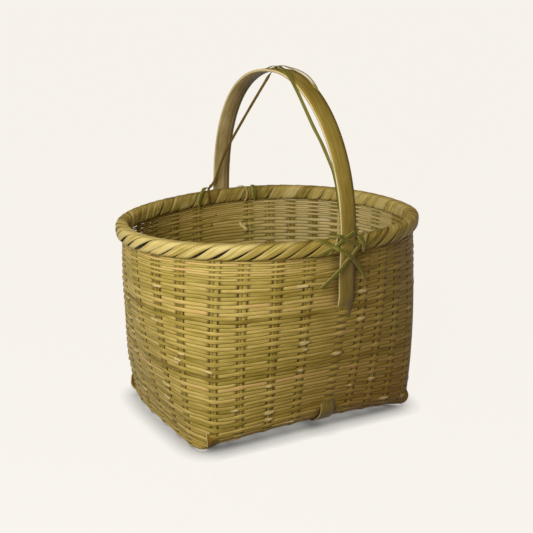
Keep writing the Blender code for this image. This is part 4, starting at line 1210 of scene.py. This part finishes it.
# Colours of the painted shade: near black in recesses and along edges, brown where the light falls
# away
PAINTED_SHADE_COLOUR = (44, 30, 8)
BROAD_SHADE_COLOUR = (118, 80, 12)
WEAVE_STOPS = ((0.05, (116, 92, 32)), (0.3, (150, 134, 56)), (0.55, (180, 160, 82)),
               (0.75, (204, 182, 106)), (0.95, (208, 172, 110)))
STAKE_STOPS = ((0.15, (124, 102, 38)), (0.5, (152, 132, 56)), (0.85, (178, 160, 84)))
SKIN_STOPS = ((0.1, (98, 80, 26)), (0.45, (144, 124, 54)), (0.8, (178, 158, 86)))
WRAP_STOPS = ((0.1, (112, 94, 34)), (0.4, (160, 140, 66)), (0.7, (190, 170, 94)),
              (0.9, (212, 194, 126)))
TIE_STOPS = ((0.1, (78, 76, 22)), (0.5, (104, 102, 36)), (0.9, (136, 130, 58)))
TIE_EDGE_STOPS = ((0.1, (150, 140, 76)), (0.9, (196, 182, 118)))
TIE_PALE_STOPS = ((0.1, (140, 128, 68)), (0.9, (186, 172, 108)))
TIE_DARK_STOPS = ((0.1, (84, 62, 20)), (0.9, (122, 98, 44)))
BRACE_STOPS = ((0.1, (92, 68, 20)), (0.5, (120, 94, 34)), (0.9, (146, 120, 52)))
BRACE_EDGE_STOPS = ((0.1, (176, 152, 84)), (0.9, (206, 184, 122)))
INNER_STOPS = ((0.1, (120, 104, 60)), (0.5, (164, 144, 96)), (0.9, (194, 176, 126)))
EDGE_STOPS = ((0.1, (206, 186, 128)), (0.9, (234, 220, 172)))
# The hoops are coloured near black, a painted shade that makes the gaps between the wraps look dark
HOOP_SHADE_STOPS = ((0.1, (34, 26, 10)), (0.9, (60, 46, 20)))

hoop_painted_shade = bamboo("hoop_painted_shade", HOOP_SHADE_STOPS)
weave = bamboo("weave", WEAVE_STOPS, fibres=0.7, fibre_count=0.7)
splint = bamboo("splint", STAKE_STOPS, fibre_count=0.9)
skin = bamboo("skin", SKIN_STOPS, tone=0.0, patches=0.5, fibres=0.7, fibre_count=3.5,
              rough=0.42)
cut_edge = bamboo("cut_edge", EDGE_STOPS)
inner_face = bamboo("inner_face", INNER_STOPS, fibre_count=2.0, fibres=0.9)
wrap = bamboo("wrap", WRAP_STOPS, fibre_count=1.3, fibres=1.5, bump=0.5)
tie = bamboo("tie", TIE_STOPS, fibre_count=0.6)
tie_edge = bamboo("tie_edge", TIE_EDGE_STOPS)
tie_pale = bamboo("tie_pale", TIE_PALE_STOPS)
tie_dark = bamboo("tie_dark", TIE_DARK_STOPS)
brace_skin = bamboo("brace_skin", BRACE_STOPS, tone=0.0, fibre_count=6.0)
brace_edge = bamboo("brace_edge", BRACE_EDGE_STOPS)

bpy.context.scene.view_settings.view_transform = "Standard"
add_camera()
add_lamp()
add_world()
add_floor()
build_weave(weave)
build_stakes(splint)
build_hoops(hoop_painted_shade)
build_wraps(wrap)
build_handle([skin, cut_edge, inner_face])
build_braces([brace_skin, brace_edge])
build_ties([tie, tie_edge, tie_pale, tie_dark])
